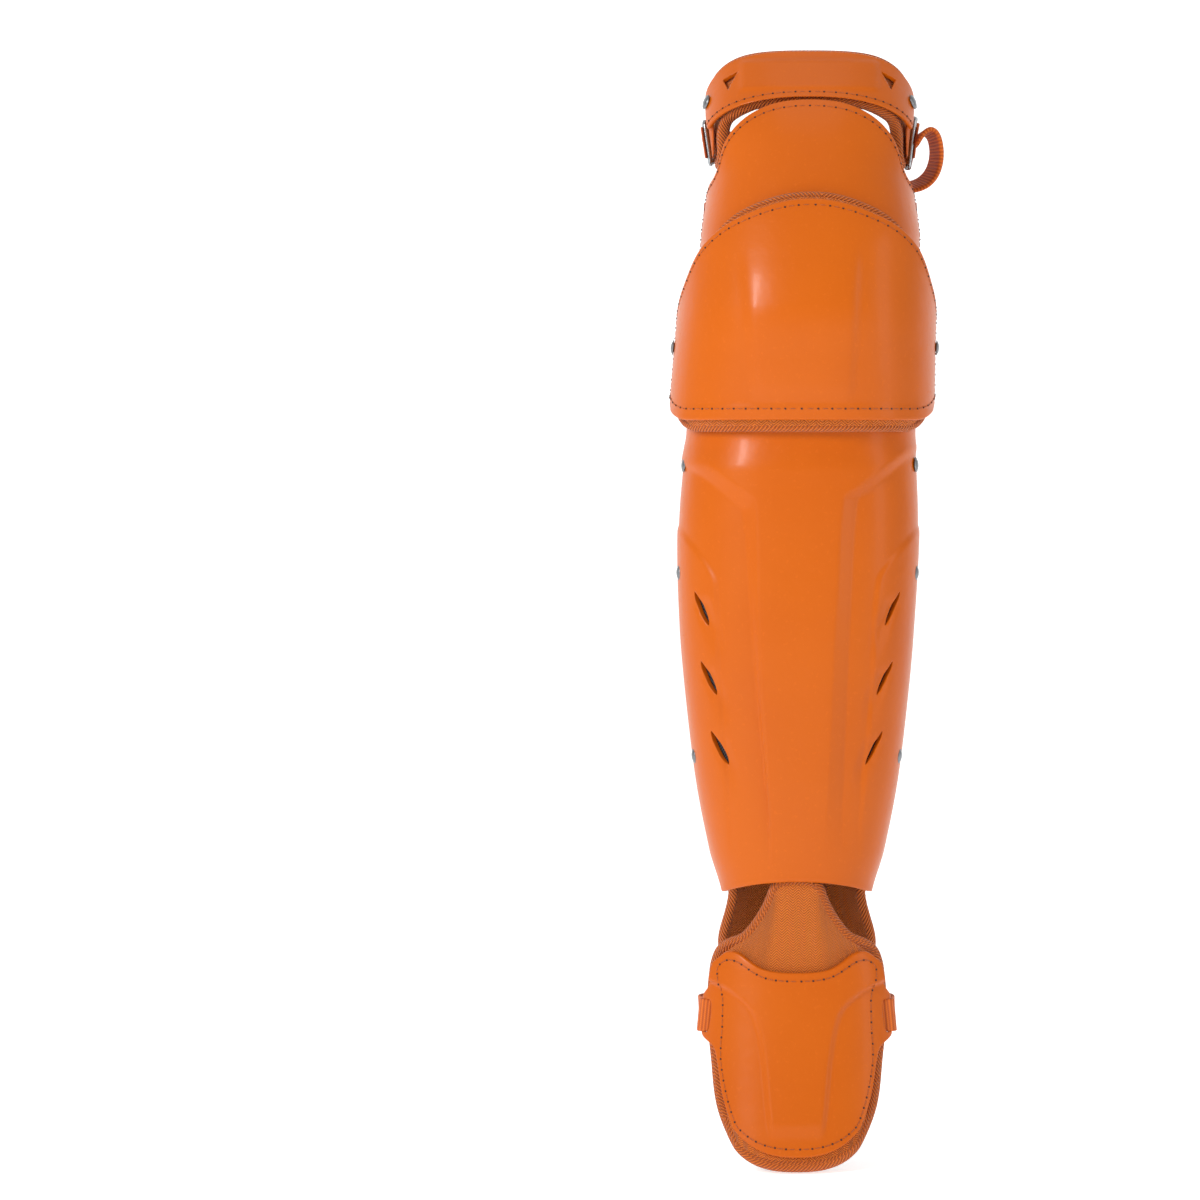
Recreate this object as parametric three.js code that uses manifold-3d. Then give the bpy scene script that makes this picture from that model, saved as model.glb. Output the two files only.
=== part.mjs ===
// A baseball catcher's leg guard: five moulded plates over bound foam pads, closed behind the leg by
// five elastic straps with hooks and one plain elastic strap at the foot.
// Millimetres, +Z up the leg, -Y to the front. The origin is on the leg's axis at the middle of the knee.
// Every piece is laid on one leg form, as a layer at its own distance from the form's surface.
import * as THREE from "three";
import { mergeVertices } from "three/addons/utils/BufferGeometryUtils.js";
import Module from "manifold-3d";

const wasm = await Module();
wasm.setup();
const { Vector3, MathUtils } = THREE;
const { lerp, degToRad } = MathUtils;

// Heights along the leg
const FOOT_HEIGHT = 146; // foot plate, up to its two top corners
const ANKLE_GAP = 36; // foot plate's corners to the shin plate's corners
const SHIN_LENGTH = 340;
const KNEE_HEIGHT = 150;
const THIGH_HEIGHT = 131;
const TOP_PLATE_HEIGHT = 36;
const TOP_RAISE = 2; // top plate's lower edge above the thigh plate's crest
const KNEE_OVER_SHIN = 17; // how far the knee cap laps over the shin plate
const KNEE_OVER_THIGH = 57; // and over the thigh plate
const LINER_TOP_DROP = 42; // shin liner's top below the shin plate's top

// Widths and depths of the leg form, to the inside of the pads
const CALF_HALF_WIDTH = 71.7;
const SHIN_DEPTH = 52;
const CALF_DEPTH = 50;
const KNEE_DEPTH = 67;
const THIGH_HALF_WIDTH = 63.5;
const THIGH_DEPTH = 62;
const THIGH_SETBACK = 90; // how far the top leans back
const THIGH_SIDE_LEAN = 9.5;
const FOOT_HALF_WIDTH = 60;
const FOOT_DEPTH = 42;
const FOOT_FLARE = 28; // how far the foot flap's lower edge stands forward
const ROUNDNESS = 0.85; // 1 is an ellipse, less is squarer

// Layers
const PAD = 7;
const PAD_EDGE = 4.6; // pads get thinner towards their bound edges
const KNEE_PAD = 7.6;
const WING = 4.8;
const SHELL = 3;
const GAP = 0.3;
const LAY_GAP = 0.8; // between a plate and its pad
const LAP_GAP = 1.2; // round the knee pad, to the plates under it and to the cap
const BINDING_HALF_WIDTH = 3.6;
const BINDING_HALF_THICKNESS = 2;
const RELIEF = 2.2; // height of the moulded ribs

// Straps and hardware
const STRAP_WIDTH = 30;
const STRAP = 1.6;
const FOOT_STRAP_WIDTH = 22;
const STRAP_END = 20; // sewn end, folded back
const TAB_WIDTH = 22;
const TAB_LENGTH = 21; // from under the plate to the ring's bar
const WEBBING = 1.1;
const WIRE_RADIUS = 1.6;
const RING_HALF_HEIGHT = 17.5;
const RING_REACH = 13; // D-ring, bar to the top of its bow
const BUCKLE_REACH = 9; // rectangular ring, bar to bar
const HOOK_PLATE = 2;
const HOOK_WIDTH = 9;
const HOOK_LENGTH = 23; // inside of its bend to the far end
const HOOK_HALF_HEIGHT = 19;
const RIVET_RADIUS = 5;
const RIVET_HEIGHT = 2.2;

const SHIN_BOTTOM = FOOT_HEIGHT + ANKLE_GAP;
const SHIN_TOP = SHIN_BOTTOM + SHIN_LENGTH;
const KNEE_BOTTOM = SHIN_TOP - KNEE_OVER_SHIN;
const KNEE_TOP = KNEE_BOTTOM + KNEE_HEIGHT;
const THIGH_BOTTOM = KNEE_TOP - KNEE_OVER_THIGH;
const THIGH_TOP = THIGH_BOTTOM + THIGH_HEIGHT;
const TOP_BOTTOM = THIGH_TOP + TOP_RAISE;
const TOP_EDGE = TOP_BOTTOM + TOP_PLATE_HEIGHT;
const KNEE_MIDDLE = KNEE_BOTTOM + KNEE_HEIGHT / 2;
const LINER_TOP = SHIN_TOP - LINER_TOP_DROP;

const PLATE_IN = PAD + LAY_GAP;
const PLATE_OUT = PLATE_IN + SHELL;
const KNEE_PAD_IN = PLATE_OUT + LAP_GAP;
const KNEE_PAD_OUT = KNEE_PAD_IN + KNEE_PAD;
const CAP_IN = KNEE_PAD_OUT + LAP_GAP;
const CAP_OUT = CAP_IN + SHELL;
const HOOK_START = TAB_LENGTH + RING_REACH - WIRE_RADIUS - 2 * GAP - HOOK_PLATE;
const HOOK_FAR = HOOK_START + HOOK_LENGTH;
const HOOK_BAR = HOOK_FAR - 1.6;
const RING_PLANE = 9; // distance of the metal rings from the form

const ORANGE = 0xe06a1b;
const BLACK = 0x17171a;
const material = {
  shell: new THREE.MeshStandardMaterial({ color: ORANGE, roughness: 0.28, metalness: 0 }),
  fabric: new THREE.MeshStandardMaterial({ color: 0xd8661c, roughness: 0.85, metalness: 0 }),
  mesh: new THREE.MeshStandardMaterial({ color: BLACK, roughness: 0.8, metalness: 0 }),
  elastic: new THREE.MeshStandardMaterial({ color: 0xd46118, roughness: 0.8, metalness: 0 }),
  steel: new THREE.MeshStandardMaterial({ color: 0xc9ccd0, roughness: 0.22, metalness: 1 }),
};

// The leg form: one row for each height. Lengths are shares of the sizes above.
const foot = (share) => FOOT_HEIGHT * share;
const shin = (share) => SHIN_BOTTOM + SHIN_LENGTH * share;
const knee = (share) => KNEE_BOTTOM + KNEE_HEIGHT * share;
const thigh = (share) => THIGH_BOTTOM + THIGH_HEIGHT * share;
const row = (z, width, front, back, { flare = 0, setback = 0, lean = 0 } = {}) => ({
  z,
  width,
  front,
  back: CALF_DEPTH * back,
  y: THIGH_SETBACK * setback - FOOT_FLARE * flare,
  x: THIGH_SIDE_LEAN * lean,
});
const kneeWidth = (share) => lerp(CALF_HALF_WIDTH, THIGH_HALF_WIDTH, share);
const LEG_ROWS = [
  row(foot(0), FOOT_HALF_WIDTH * 0.97, FOOT_DEPTH, 0.6, { flare: 1 }),
  row(foot(0.5), FOOT_HALF_WIDTH, FOOT_DEPTH, 0.6, { flare: 0.45 }),
  row(foot(0.92), FOOT_HALF_WIDTH * 0.96, FOOT_DEPTH, 0.62, { flare: 0.1 }),
  row(shin(0), CALF_HALF_WIDTH * 0.59, SHIN_DEPTH * 0.72, 0.66),
  row(shin(0.09), CALF_HALF_WIDTH * 0.69, SHIN_DEPTH * 0.78, 0.74),
  row(shin(0.235), CALF_HALF_WIDTH * 0.81, SHIN_DEPTH * 0.86, 0.88),
  row(shin(0.38), CALF_HALF_WIDTH * 0.895, SHIN_DEPTH * 0.92, 0.98),
  row(shin(0.53), CALF_HALF_WIDTH * 0.96, SHIN_DEPTH * 0.97, 1),
  row(shin(0.74), CALF_HALF_WIDTH, SHIN_DEPTH, 0.99, { lean: 0.12 }),
  row(shin(0.92), CALF_HALF_WIDTH * 0.955, SHIN_DEPTH * 1.04, 0.92, { lean: 0.28 }),
  row(knee(0.25), kneeWidth(0.6), KNEE_DEPTH * 0.91, 0.9, { lean: 0.5 }),
  row(knee(0.51), kneeWidth(0.75), KNEE_DEPTH, 0.9, { setback: 0.02, lean: 0.72 }),
  row(knee(0.75), kneeWidth(0.82), KNEE_DEPTH * 0.97, 0.9, { setback: 0.09, lean: 0.9 }),
  row(thigh(0.3), THIGH_HALF_WIDTH * 1.02, THIGH_DEPTH * 1.03, 0.9, { setback: 0.155, lean: 1 }),
  row(thigh(0.5), THIGH_HALF_WIDTH * 0.97, THIGH_DEPTH, 0.9, { setback: 0.27, lean: 1 }),
  row(thigh(0.62), THIGH_HALF_WIDTH * 0.945, THIGH_DEPTH * 0.97, 0.89, { setback: 0.34, lean: 1 }),
  row(thigh(0.85), THIGH_HALF_WIDTH, THIGH_DEPTH * 0.92, 0.87, { setback: 0.5, lean: 0.95 }),
  row(thigh(1), THIGH_HALF_WIDTH * 1.02, THIGH_DEPTH * 0.88, 0.85, { setback: 0.64, lean: 0.95 }),
  row(TOP_EDGE, THIGH_HALF_WIDTH * 1.03, THIGH_DEPTH * 0.82, 0.8, { setback: 1, lean: 0.9 }),
];

// A smooth value between the rows of a table, by its named column
function between(rows, column, z, key = "z") {
  let i = 0;
  while (i < rows.length - 2 && z > rows[i + 1][key]) i++;
  const [a, b, c, d] = [rows[Math.max(i - 1, 0)], rows[i], rows[i + 1], rows[Math.min(i + 2, rows.length - 1)]];
  const span = c[key] - b[key];
  const t = MathUtils.clamp((z - b[key]) / span, 0, 1);
  const rise = c[column] - b[column];
  const limit = (slope) => (slope * rise <= 0 ? 0 : Math.sign(rise) * Math.min(Math.abs(slope), 2.5 * Math.abs(rise / span)));
  const m0 = limit((c[column] - a[column]) / (c[key] - a[key])) * span;
  const m1 = limit((d[column] - b[column]) / (d[key] - b[key])) * span;
  const h = t * t * (3 - 2 * t);
  return b[column] + h * rise + t * (1 - t) * ((1 - t) * m0 - t * m1);
}

const legForm = (z) => ({
  x: between(LEG_ROWS, "x", z),
  y: between(LEG_ROWS, "y", z),
  width: between(LEG_ROWS, "width", z),
  front: between(LEG_ROWS, "front", z),
  back: between(LEG_ROWS, "back", z),
});

// A point at a distance from the leg form. The angle is in degrees, 0 at the front, + to the right side.
function wall(z, angle, offset) {
  const { x, y, width, front, back } = legForm(z);
  const s = Math.sin(degToRad(angle));
  const c = Math.cos(degToRad(angle));
  const depth = c > 0 ? front : back;
  const across = Math.sign(s) * Math.abs(s) ** ROUNDNESS;
  const along = -Math.sign(c) * Math.abs(c) ** ROUNDNESS;
  const power = 2 / ROUNDNESS - 1;
  const normalX = (Math.sign(across) * Math.abs(across) ** power) / width;
  const normalY = (Math.sign(along) * Math.abs(along) ** power) / depth;
  const length = Math.hypot(normalX, normalY);
  return new Vector3(
    x + width * across + (offset * normalX) / length,
    y + depth * along + (offset * normalY) / length,
    z,
  );
}

// Distance to the right of the leg's middle line, as seen from the front
const across = (z, angle, offset) => wall(z, angle, offset).x - legForm(z).x;

// Directions at a point of the leg form: along the girth, up, and outwards
function directions(z, angle, offset) {
  const step = 0.5;
  const girth = wall(z, angle + step, offset).sub(wall(z, angle - step, offset)).normalize();
  const up = wall(z + step, angle, offset).sub(wall(z - step, angle, offset)).normalize();
  const out = new Vector3().crossVectors(girth, up).normalize();
  return { girth, up: new Vector3().crossVectors(out, girth), out };
}

// A curve from pairs of place and value
const curve = (pairs) => {
  const rows = pairs.map(([place, value]) => ({ place, value }));
  return (place) => between(rows, "value", place, "place");
};

// A closed geometry from points and faces, turned so that its faces point out
function closedGeometry(points, faces) {
  let volume = 0;
  for (const [a, b, c] of faces) volume += points[a].dot(new Vector3().crossVectors(points[b], points[c]));
  const geometry = new THREE.BufferGeometry();
  geometry.setAttribute("position", new THREE.Float32BufferAttribute(points.flatMap((p) => p.toArray()), 3));
  geometry.setIndex(faces.flatMap(([a, b, c]) => (volume > 0 ? [a, b, c] : [a, c, b])));
  return geometry;
}

// A solid between two grids of points of the same size
function slab(outer, inner) {
  const rows = outer.length;
  const columns = outer[0].length;
  const points = [...outer.flat(), ...inner.flat()];
  const at = (side, j, i) => side * rows * columns + j * columns + i;
  const faces = [];
  const quad = (a, b, c, d) => faces.push([a, b, c], [a, c, d]);
  for (let j = 0; j < rows - 1; j++) {
    for (let i = 0; i < columns - 1; i++) {
      quad(at(0, j, i), at(0, j, i + 1), at(0, j + 1, i + 1), at(0, j + 1, i));
      quad(at(1, j + 1, i), at(1, j + 1, i + 1), at(1, j, i + 1), at(1, j, i));
    }
    quad(at(0, j + 1, 0), at(1, j + 1, 0), at(1, j, 0), at(0, j, 0));
    quad(at(0, j, columns - 1), at(1, j, columns - 1), at(1, j + 1, columns - 1), at(0, j + 1, columns - 1));
  }
  for (let i = 0; i < columns - 1; i++) {
    quad(at(0, 0, i + 1), at(0, 0, i), at(1, 0, i), at(1, 0, i + 1));
    quad(at(0, rows - 1, i), at(0, rows - 1, i + 1), at(1, rows - 1, i + 1), at(1, rows - 1, i));
  }
  return closedGeometry(points, faces);
}

// A panel laid on the leg form. left and right give its side angles at a height, bottom and top its end
// heights at a place from 0 to 1 across, inner and outer the offsets of its two faces at an angle and height.
function outline({ left, right, bottom, top }, u, v) {
  const z = lerp(bottom(u), top(u), v);
  const angle = lerp(left(lerp(bottom(0), top(0), v)), right(lerp(bottom(1), top(1), v)), u);
  return { angle, z };
}

function panel(shape, { inner, outer, columns, rows }) {
  const steps = (count) => (Array.isArray(count) ? count : Array.from({ length: count + 1 }, (_, i) => i / count));
  const grid = (offset) =>
    steps(rows).map((v) =>
      steps(columns).map((u) => {
        const { angle, z } = outline(shape, u, v);
        return wall(z, angle, offset(angle, z));
      }),
    );
  return slab(grid(outer), grid(inner));
}

// A closed path round a panel's outline, cutting its corners
function border(shape, offset, acrossCount, upCount) {
  const path = [];
  const step = (u, v) => {
    const { angle, z } = outline(shape, u, v);
    path.push({ point: wall(z, angle, offset), up: directions(z, angle, offset).out });
  };
  const cut = 0.45;
  for (let i = 0; i < acrossCount; i++) step((i + cut) / (acrossCount - 1 + 2 * cut), 0);
  for (let i = 0; i < upCount; i++) step(1, (i + cut) / (upCount - 1 + 2 * cut));
  for (let i = acrossCount - 1; i >= 0; i--) step((i + cut) / (acrossCount - 1 + 2 * cut), 1);
  for (let i = upCount - 1; i >= 0; i--) step(0, (i + cut) / (upCount - 1 + 2 * cut));
  return path;
}

// Cross-sections along a path of points, where up is the direction of their width. A closed path has no ends.
function sections(path, halfWidth, halfThickness, closed, sides) {
  const count = path.length;
  return path.map(({ point, up }, k) => {
    const before = path[closed ? (k + count - 1) % count : Math.max(k - 1, 0)].point;
    const after = path[closed ? (k + 1) % count : Math.min(k + 1, count - 1)].point;
    const along = after.clone().sub(before).normalize();
    const wide = up.clone().normalize();
    const thick = new Vector3().crossVectors(along, wide).normalize();
    return Array.from({ length: sides }, (_, i) => {
      const turn = ((i + 0.5) * 2 * Math.PI) / sides;
      const corner = sides === 4 ? Math.SQRT2 : 1;
      return point
        .clone()
        .addScaledVector(wide, corner * halfWidth * Math.cos(turn))
        .addScaledVector(thick, corner * halfThickness * Math.sin(turn));
    });
  });
}

// A ribbon or rod along a path
function sweep(path, halfWidth, halfThickness, { closed = false, sides = 4 } = {}) {
  const count = path.length;
  const points = sections(path, halfWidth, halfThickness, closed, sides).flat();
  const faces = [];
  for (let k = 0; k < (closed ? count : count - 1); k++) {
    for (let i = 0; i < sides; i++) {
      const [a, b] = [k * sides + i, k * sides + ((i + 1) % sides)];
      const [c, d] = [((k + 1) % count) * sides + ((i + 1) % sides), ((k + 1) % count) * sides + i];
      faces.push([a, b, c], [a, c, d]);
    }
  }
  for (let i = 1; !closed && i < sides - 1; i++) {
    const last = (count - 1) * sides;
    faces.push([0, i + 1, i], [last, last + i, last + i + 1]);
  }
  return closedGeometry(points, faces);
}

// A closed ring of straight pieces along a path, for paths with sharp turns
function chain(path, halfWidth, halfThickness, sides) {
  const rings = sections(path, halfWidth, halfThickness, true, sides);
  const links = rings.map((ring, k) =>
    wasm.Manifold.hull([...ring, ...rings[(k + 1) % rings.length]].map((p) => p.toArray())),
  );
  return wasm.Manifold.union(links);
}

function toSolid(geometry) {
  const bare = geometry.clone();
  bare.deleteAttribute("normal");
  bare.deleteAttribute("uv");
  const merged = mergeVertices(bare, 1e-4);
  return new wasm.Manifold(
    new wasm.Mesh({
      numProp: 3,
      vertProperties: new Float32Array(merged.attributes.position.array),
      triVerts: new Uint32Array(merged.index.array),
    }),
  );
}

function toGeometry(solid) {
  const { vertProperties, triVerts } = solid.getMesh();
  const geometry = new THREE.BufferGeometry();
  geometry.setAttribute("position", new THREE.BufferAttribute(vertProperties, 3));
  geometry.setIndex(new THREE.BufferAttribute(triVerts, 1));
  return geometry;
}

const cut = (geometry, tools) => toGeometry(tools.reduce((left, tool) => left.subtract(toSolid(tool)), toSolid(geometry)));

// Turns a flat geometry so that its x runs along one direction, its y along up and its z outwards
function place(geometry, origin, { girth, up, out }) {
  return geometry.applyMatrix4(new THREE.Matrix4().makeBasis(girth, up, out).setPosition(origin));
}

const whole = new THREE.Group();
function add(name, geometry, kind) {
  const mesh = new THREE.Mesh(geometry, material[kind]);
  mesh.name = name;
  whole.add(mesh);
}

const flat = (value) => () => value;
const symmetric = (side) => ({ left: (z) => -side(z), right: side });
const acrossEdge = (height) => (u) => height(Math.abs(2 * u - 1));

// Outlines. A place across is 0 at the middle and 1 at the side.
const topPlate = {
  ...symmetric(curve([[TOP_BOTTOM - 22, 74], [TOP_BOTTOM, 75.5], [TOP_BOTTOM + 10, 72], [TOP_BOTTOM + 27, 50]])),
  bottom: acrossEdge((t) => TOP_BOTTOM - 21 * t * t),
  top: acrossEdge((t) => TOP_EDGE - 10 * t ** 3),
};
const topPad = {
  ...symmetric(curve([[THIGH_TOP - 44, 100], [THIGH_TOP - 10, 104], [THIGH_TOP + 12, 88], [THIGH_TOP + 26, 60]])),
  bottom: acrossEdge(
    curve([[0, 0.5], [0.3, -3], [0.4, -8], [0.52, -14], [0.6, -21], [0.7, -36], [0.8, -43], [1, -42]].map(onThighTop)),
  ),
  top: acrossEdge((t) => TOP_EDGE - 2 - 10 * t ** 3),
};
const thighPlate = {
  ...symmetric(curve([[THIGH_BOTTOM, 86], [THIGH_BOTTOM + 12, 92], [THIGH_BOTTOM + 60, 92], [THIGH_TOP - 58, 88]])),
  bottom: acrossEdge((t) => THIGH_BOTTOM + 6 * t ** 4),
  top: acrossEdge(
    curve([[0, 0], [0.18, -2.5], [0.35, -10], [0.49, -20], [0.61, -32], [0.7, -45], [0.8, -53], [1, -58]].map(onThighTop)),
  ),
};
const thighPad = {
  ...symmetric(curve([[THIGH_BOTTOM, 96], [THIGH_BOTTOM + 22, 124], [THIGH_BOTTOM + 60, 126], [THIGH_TOP - 50, 118]])),
  bottom: acrossEdge((t) => THIGH_BOTTOM + 8 * t ** 4),
  top: acrossEdge(
    curve([[0, -9], [0.13, -11], [0.25, -16], [0.36, -25], [0.45, -39], [0.53, -48], [0.62, -52], [1, -52]].map(onThighTop)),
  ),
};
const kneeCap = {
  ...symmetric(curve([[KNEE_BOTTOM, 88], [KNEE_BOTTOM + 15, 95], [KNEE_BOTTOM + 70, 95]])),
  bottom: acrossEdge((t) => KNEE_BOTTOM + 3 * t * t),
  top: acrossEdge(curve([[0, 0], [0.33, -12], [0.57, -31], [0.75, -55], [1, -76]].map(onKneeTop))),
};
const kneePad = {
  ...symmetric(curve([[KNEE_BOTTOM - 6, 100], [KNEE_BOTTOM + 15, 110], [KNEE_BOTTOM + 50, 112], [KNEE_TOP - 62, 106]])),
  bottom: acrossEdge((t) => KNEE_BOTTOM - 5 + 4 * t * t),
  top: acrossEdge(curve([[0, 4], [0.3, -8], [0.5, -27], [0.66, -47], [1, -64]].map(onKneeTop))),
};
const shinPlate = {
  ...symmetric(
    curve([[shin(0), 76], [shin(0.05), 86], [shin(0.2), 94], [shin(0.5), 99], [shin(0.88), 98], [shin(1), 88]]),
  ),
  bottom: acrossEdge((t) => SHIN_BOTTOM + 11 * (1 - t ** 1.7)),
  top: acrossEdge((t) => SHIN_TOP - 8 * t ** 4),
};
const SHIN_PAD_SIDE = 95;
const shinLiner = {
  ...symmetric(flat(SHIN_PAD_SIDE)),
  bottom: acrossEdge((t) => SHIN_BOTTOM + 5 + 11 * (1 - t ** 1.7)),
  top: flat(LINER_TOP),
};
const wingEdge = curve([[shin(-0.16), 132], [shin(-0.08), 108], [shin(0.02), SHIN_PAD_SIDE + 0.5]]);
const wingLeft = {
  left: curve([[shin(-0.16), -176], [shin(-0.1), -190], [shin(0.02), -187], [shin(0.17), -177],
    [shin(0.32), -164], [shin(0.44), -155], [shin(0.7), -151], [shin(0.89), -140]]),
  right: (z) => -wingEdge(z),
  bottom: (u) => shin(-0.16) + 6 * (2 * u - 1) ** 2,
  top: flat(LINER_TOP),
};
const wingRight = {
  left: wingEdge,
  right: curve([[shin(-0.16), 150], [shin(-0.1), 157], [shin(0.02), 158], [shin(0.17), 164],
    [shin(0.32), 161], [shin(0.44), 155], [shin(0.7), 151], [shin(0.89), 140]]),
  bottom: (u) => shin(-0.16) + 6 * (2 * u - 1) ** 2,
  top: flat(LINER_TOP),
};
const footPlate = {
  ...symmetric(curve([[foot(0.19), 37], [foot(0.34), 45], [foot(0.5), 50], [foot(0.56), 54], [foot(0.61), 67],
    [foot(0.78), 67], [foot(0.83), 60], [foot(0.94), 56]])),
  bottom: acrossEdge((t) => foot(0.07) + foot(0.12) * t ** 2.2),
  top: acrossEdge(curve([[0, foot(0.905)], [0.3, foot(0.92)], [0.62, foot(0.99)], [0.78, foot(1)], [1, foot(0.945)]])),
};
const footPad = {
  ...symmetric(curve([[foot(0.11), 37], [foot(0.3), 52], [foot(0.5), 58], [foot(0.75), 66], [foot(1), 64]])),
  bottom: acrossEdge((t) => BINDING_HALF_WIDTH + foot(0.085) * t ** 2.4),
  top: acrossEdge(
    curve([[0, shin(0.0375)], [0.12, shin(0.034)], [0.22, shin(0.026)], [0.34, shin(-0.02)], [0.55, foot(1.07)], [0.8, foot(1.03)], [1, foot(1)]]),
  ),
};
function onThighTop([place, drop]) {
  return [place, THIGH_TOP + drop];
}
function onKneeTop([place, drop]) {
  return [place, KNEE_TOP + drop];
}

// Moulded forms of the plates, as heights over their surface
function ridge(points, halfWidth, x, z) {
  let nearest = Infinity;
  for (let i = 0; i < points.length - 1; i++) {
    const [a, b] = [points[i], points[i + 1]];
    const [dx, dz] = [b[0] - a[0], b[1] - a[1]];
    const t = MathUtils.clamp(((x - a[0]) * dx + (z - a[1]) * dz) / (dx * dx + dz * dz), 0, 1);
    nearest = Math.min(nearest, Math.hypot(x - a[0] - dx * t, z - a[1] - dz * t));
  }
  return 1 - MathUtils.smoothstep(nearest, 0, halfWidth);
}
const onShin = (pairs) => pairs.map(([x, z]) => [CALF_HALF_WIDTH * x, shin(z)]);
const SHIN_RIDGES = [
  onShin([[-0.51, 0.826], [-0.39, 0.79], [-0.33, 0.39], [-0.26, 0.18]]),
  onShin([[0.61, 0.844], [0.41, 0.796], [0.32, 0.39], [0.27, 0.15]]),
  onShin([[-1.02, 0.894], [-0.65, 0.83], [-0.51, 0.81], [-0.4, 0.6]]),
  onShin([[1.05, 0.9], [0.51, 0.815]]),
  onShin([[-1.1, 0.73], [-0.76, 0.625]]),
  onShin([[1.1, 0.73], [0.76, 0.625]]),
];
function shinRelief(angle, z) {
  const x = across(z, angle, PLATE_OUT);
  const height = Math.max(...SHIN_RIDGES.map((points) => ridge(points, 8.5, x, z)));
  return RELIEF * height * (1 - MathUtils.smoothstep(z, shin(0.83), shin(0.87)));
}
function kneeRelief(angle, z) {
  const x = across(z, angle, CAP_OUT);
  const leftSide = lerp(-31, -44, (z - knee(0.1)) / (KNEE_HEIGHT * 0.58));
  const height = MathUtils.smoothstep(x, leftSide - 5, leftSide + 5) * MathUtils.smoothstep(-x, -37, -29);
  const low = MathUtils.smoothstep(z, knee(0.06), knee(0.16));
  return RELIEF * 0.6 * height * low * (1 - MathUtils.smoothstep(z, knee(0.62), knee(0.86)));
}
function footRelief(angle, z) {
  const x = across(z, angle, PLATE_OUT);
  const share = MathUtils.clamp((foot(0.78) - z) / foot(0.68), 0, 1);
  const side = lerp(33, 17, share ** 0.6);
  const band = (1 - MathUtils.smoothstep(Math.abs(x), side - 4, side + 5)) * MathUtils.smoothstep(z, foot(0.13), foot(0.2));
  return RELIEF * 0.7 * band * (1 - MathUtils.smoothstep(z, foot(0.8), foot(0.88)));
}
function topRelief(angle, z) {
  const x = across(z, angle, PLATE_OUT);
  const level = 1 - MathUtils.smoothstep(Math.abs(z - lerp(TOP_BOTTOM, TOP_EDGE, 0.5)), 9, 14);
  return RELIEF * 0.6 * (1 - MathUtils.smoothstep(Math.abs(x), 44, 51)) * level;
}

// Columns at chosen shares of the half width, for a panel whose sides are at a given angle
const columnsAt = (shares, side) => {
  const half = shares.map((share) => MathUtils.radToDeg(Math.asin(share ** (1 / ROUNDNESS))) / side);
  return [...half.map((t) => -t).reverse(), 0, ...half].map((t) => (1 + t) / 2);
};

const rivet = (z, angle, offset) => {
  const radii = [1, 1, 0.62];
  const heights = [0, 0.4, 0.86];
  const points = radii.flatMap((r, k) =>
    Array.from({ length: 10 }, (_, i) => {
      const turn = (i * Math.PI) / 5;
      return new Vector3(RIVET_RADIUS * r * Math.cos(turn), RIVET_RADIUS * r * Math.sin(turn), RIVET_HEIGHT * heights[k]);
    }),
  );
  points.push(new Vector3(0, 0, 0), new Vector3(0, 0, RIVET_HEIGHT));
  const faces = [];
  for (let i = 0; i < 10; i++) {
    const j = (i + 1) % 10;
    faces.push([30, j, i], [31, 20 + i, 20 + j]);
    for (const k of [0, 10]) faces.push([k + i, k + j, k + 10 + j], [k + i, k + 10 + j, k + 10 + i]);
  }
  return place(closedGeometry(points, faces), wall(z, angle, offset + GAP), directions(z, angle, offset));
};

// A cutter through a plate: a flat outline in millimetres across and up, extruded outwards
function cutter(z, angle, corners) {
  const geometry = new THREE.ExtrudeGeometry(new THREE.Shape(corners.map(([x, y]) => new THREE.Vector2(x, y))), {
    depth: 30,
    bevelEnabled: false,
  });
  geometry.translate(0, 0, -15);
  return place(geometry, wall(z, angle, PLATE_OUT), directions(z, angle, PLATE_OUT));
}
const slotOutline = (halfLength, halfWidth, slant) =>
  [[-1, -0.75], [-0.45, -1], [0.45, -1], [1, -0.75], [1, 0.75], [0.45, 1], [-0.45, 1], [-1, 0.75]].map(([a, b]) => [
    a * halfWidth + slant * b * halfLength,
    b * halfLength,
  ]);

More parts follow.
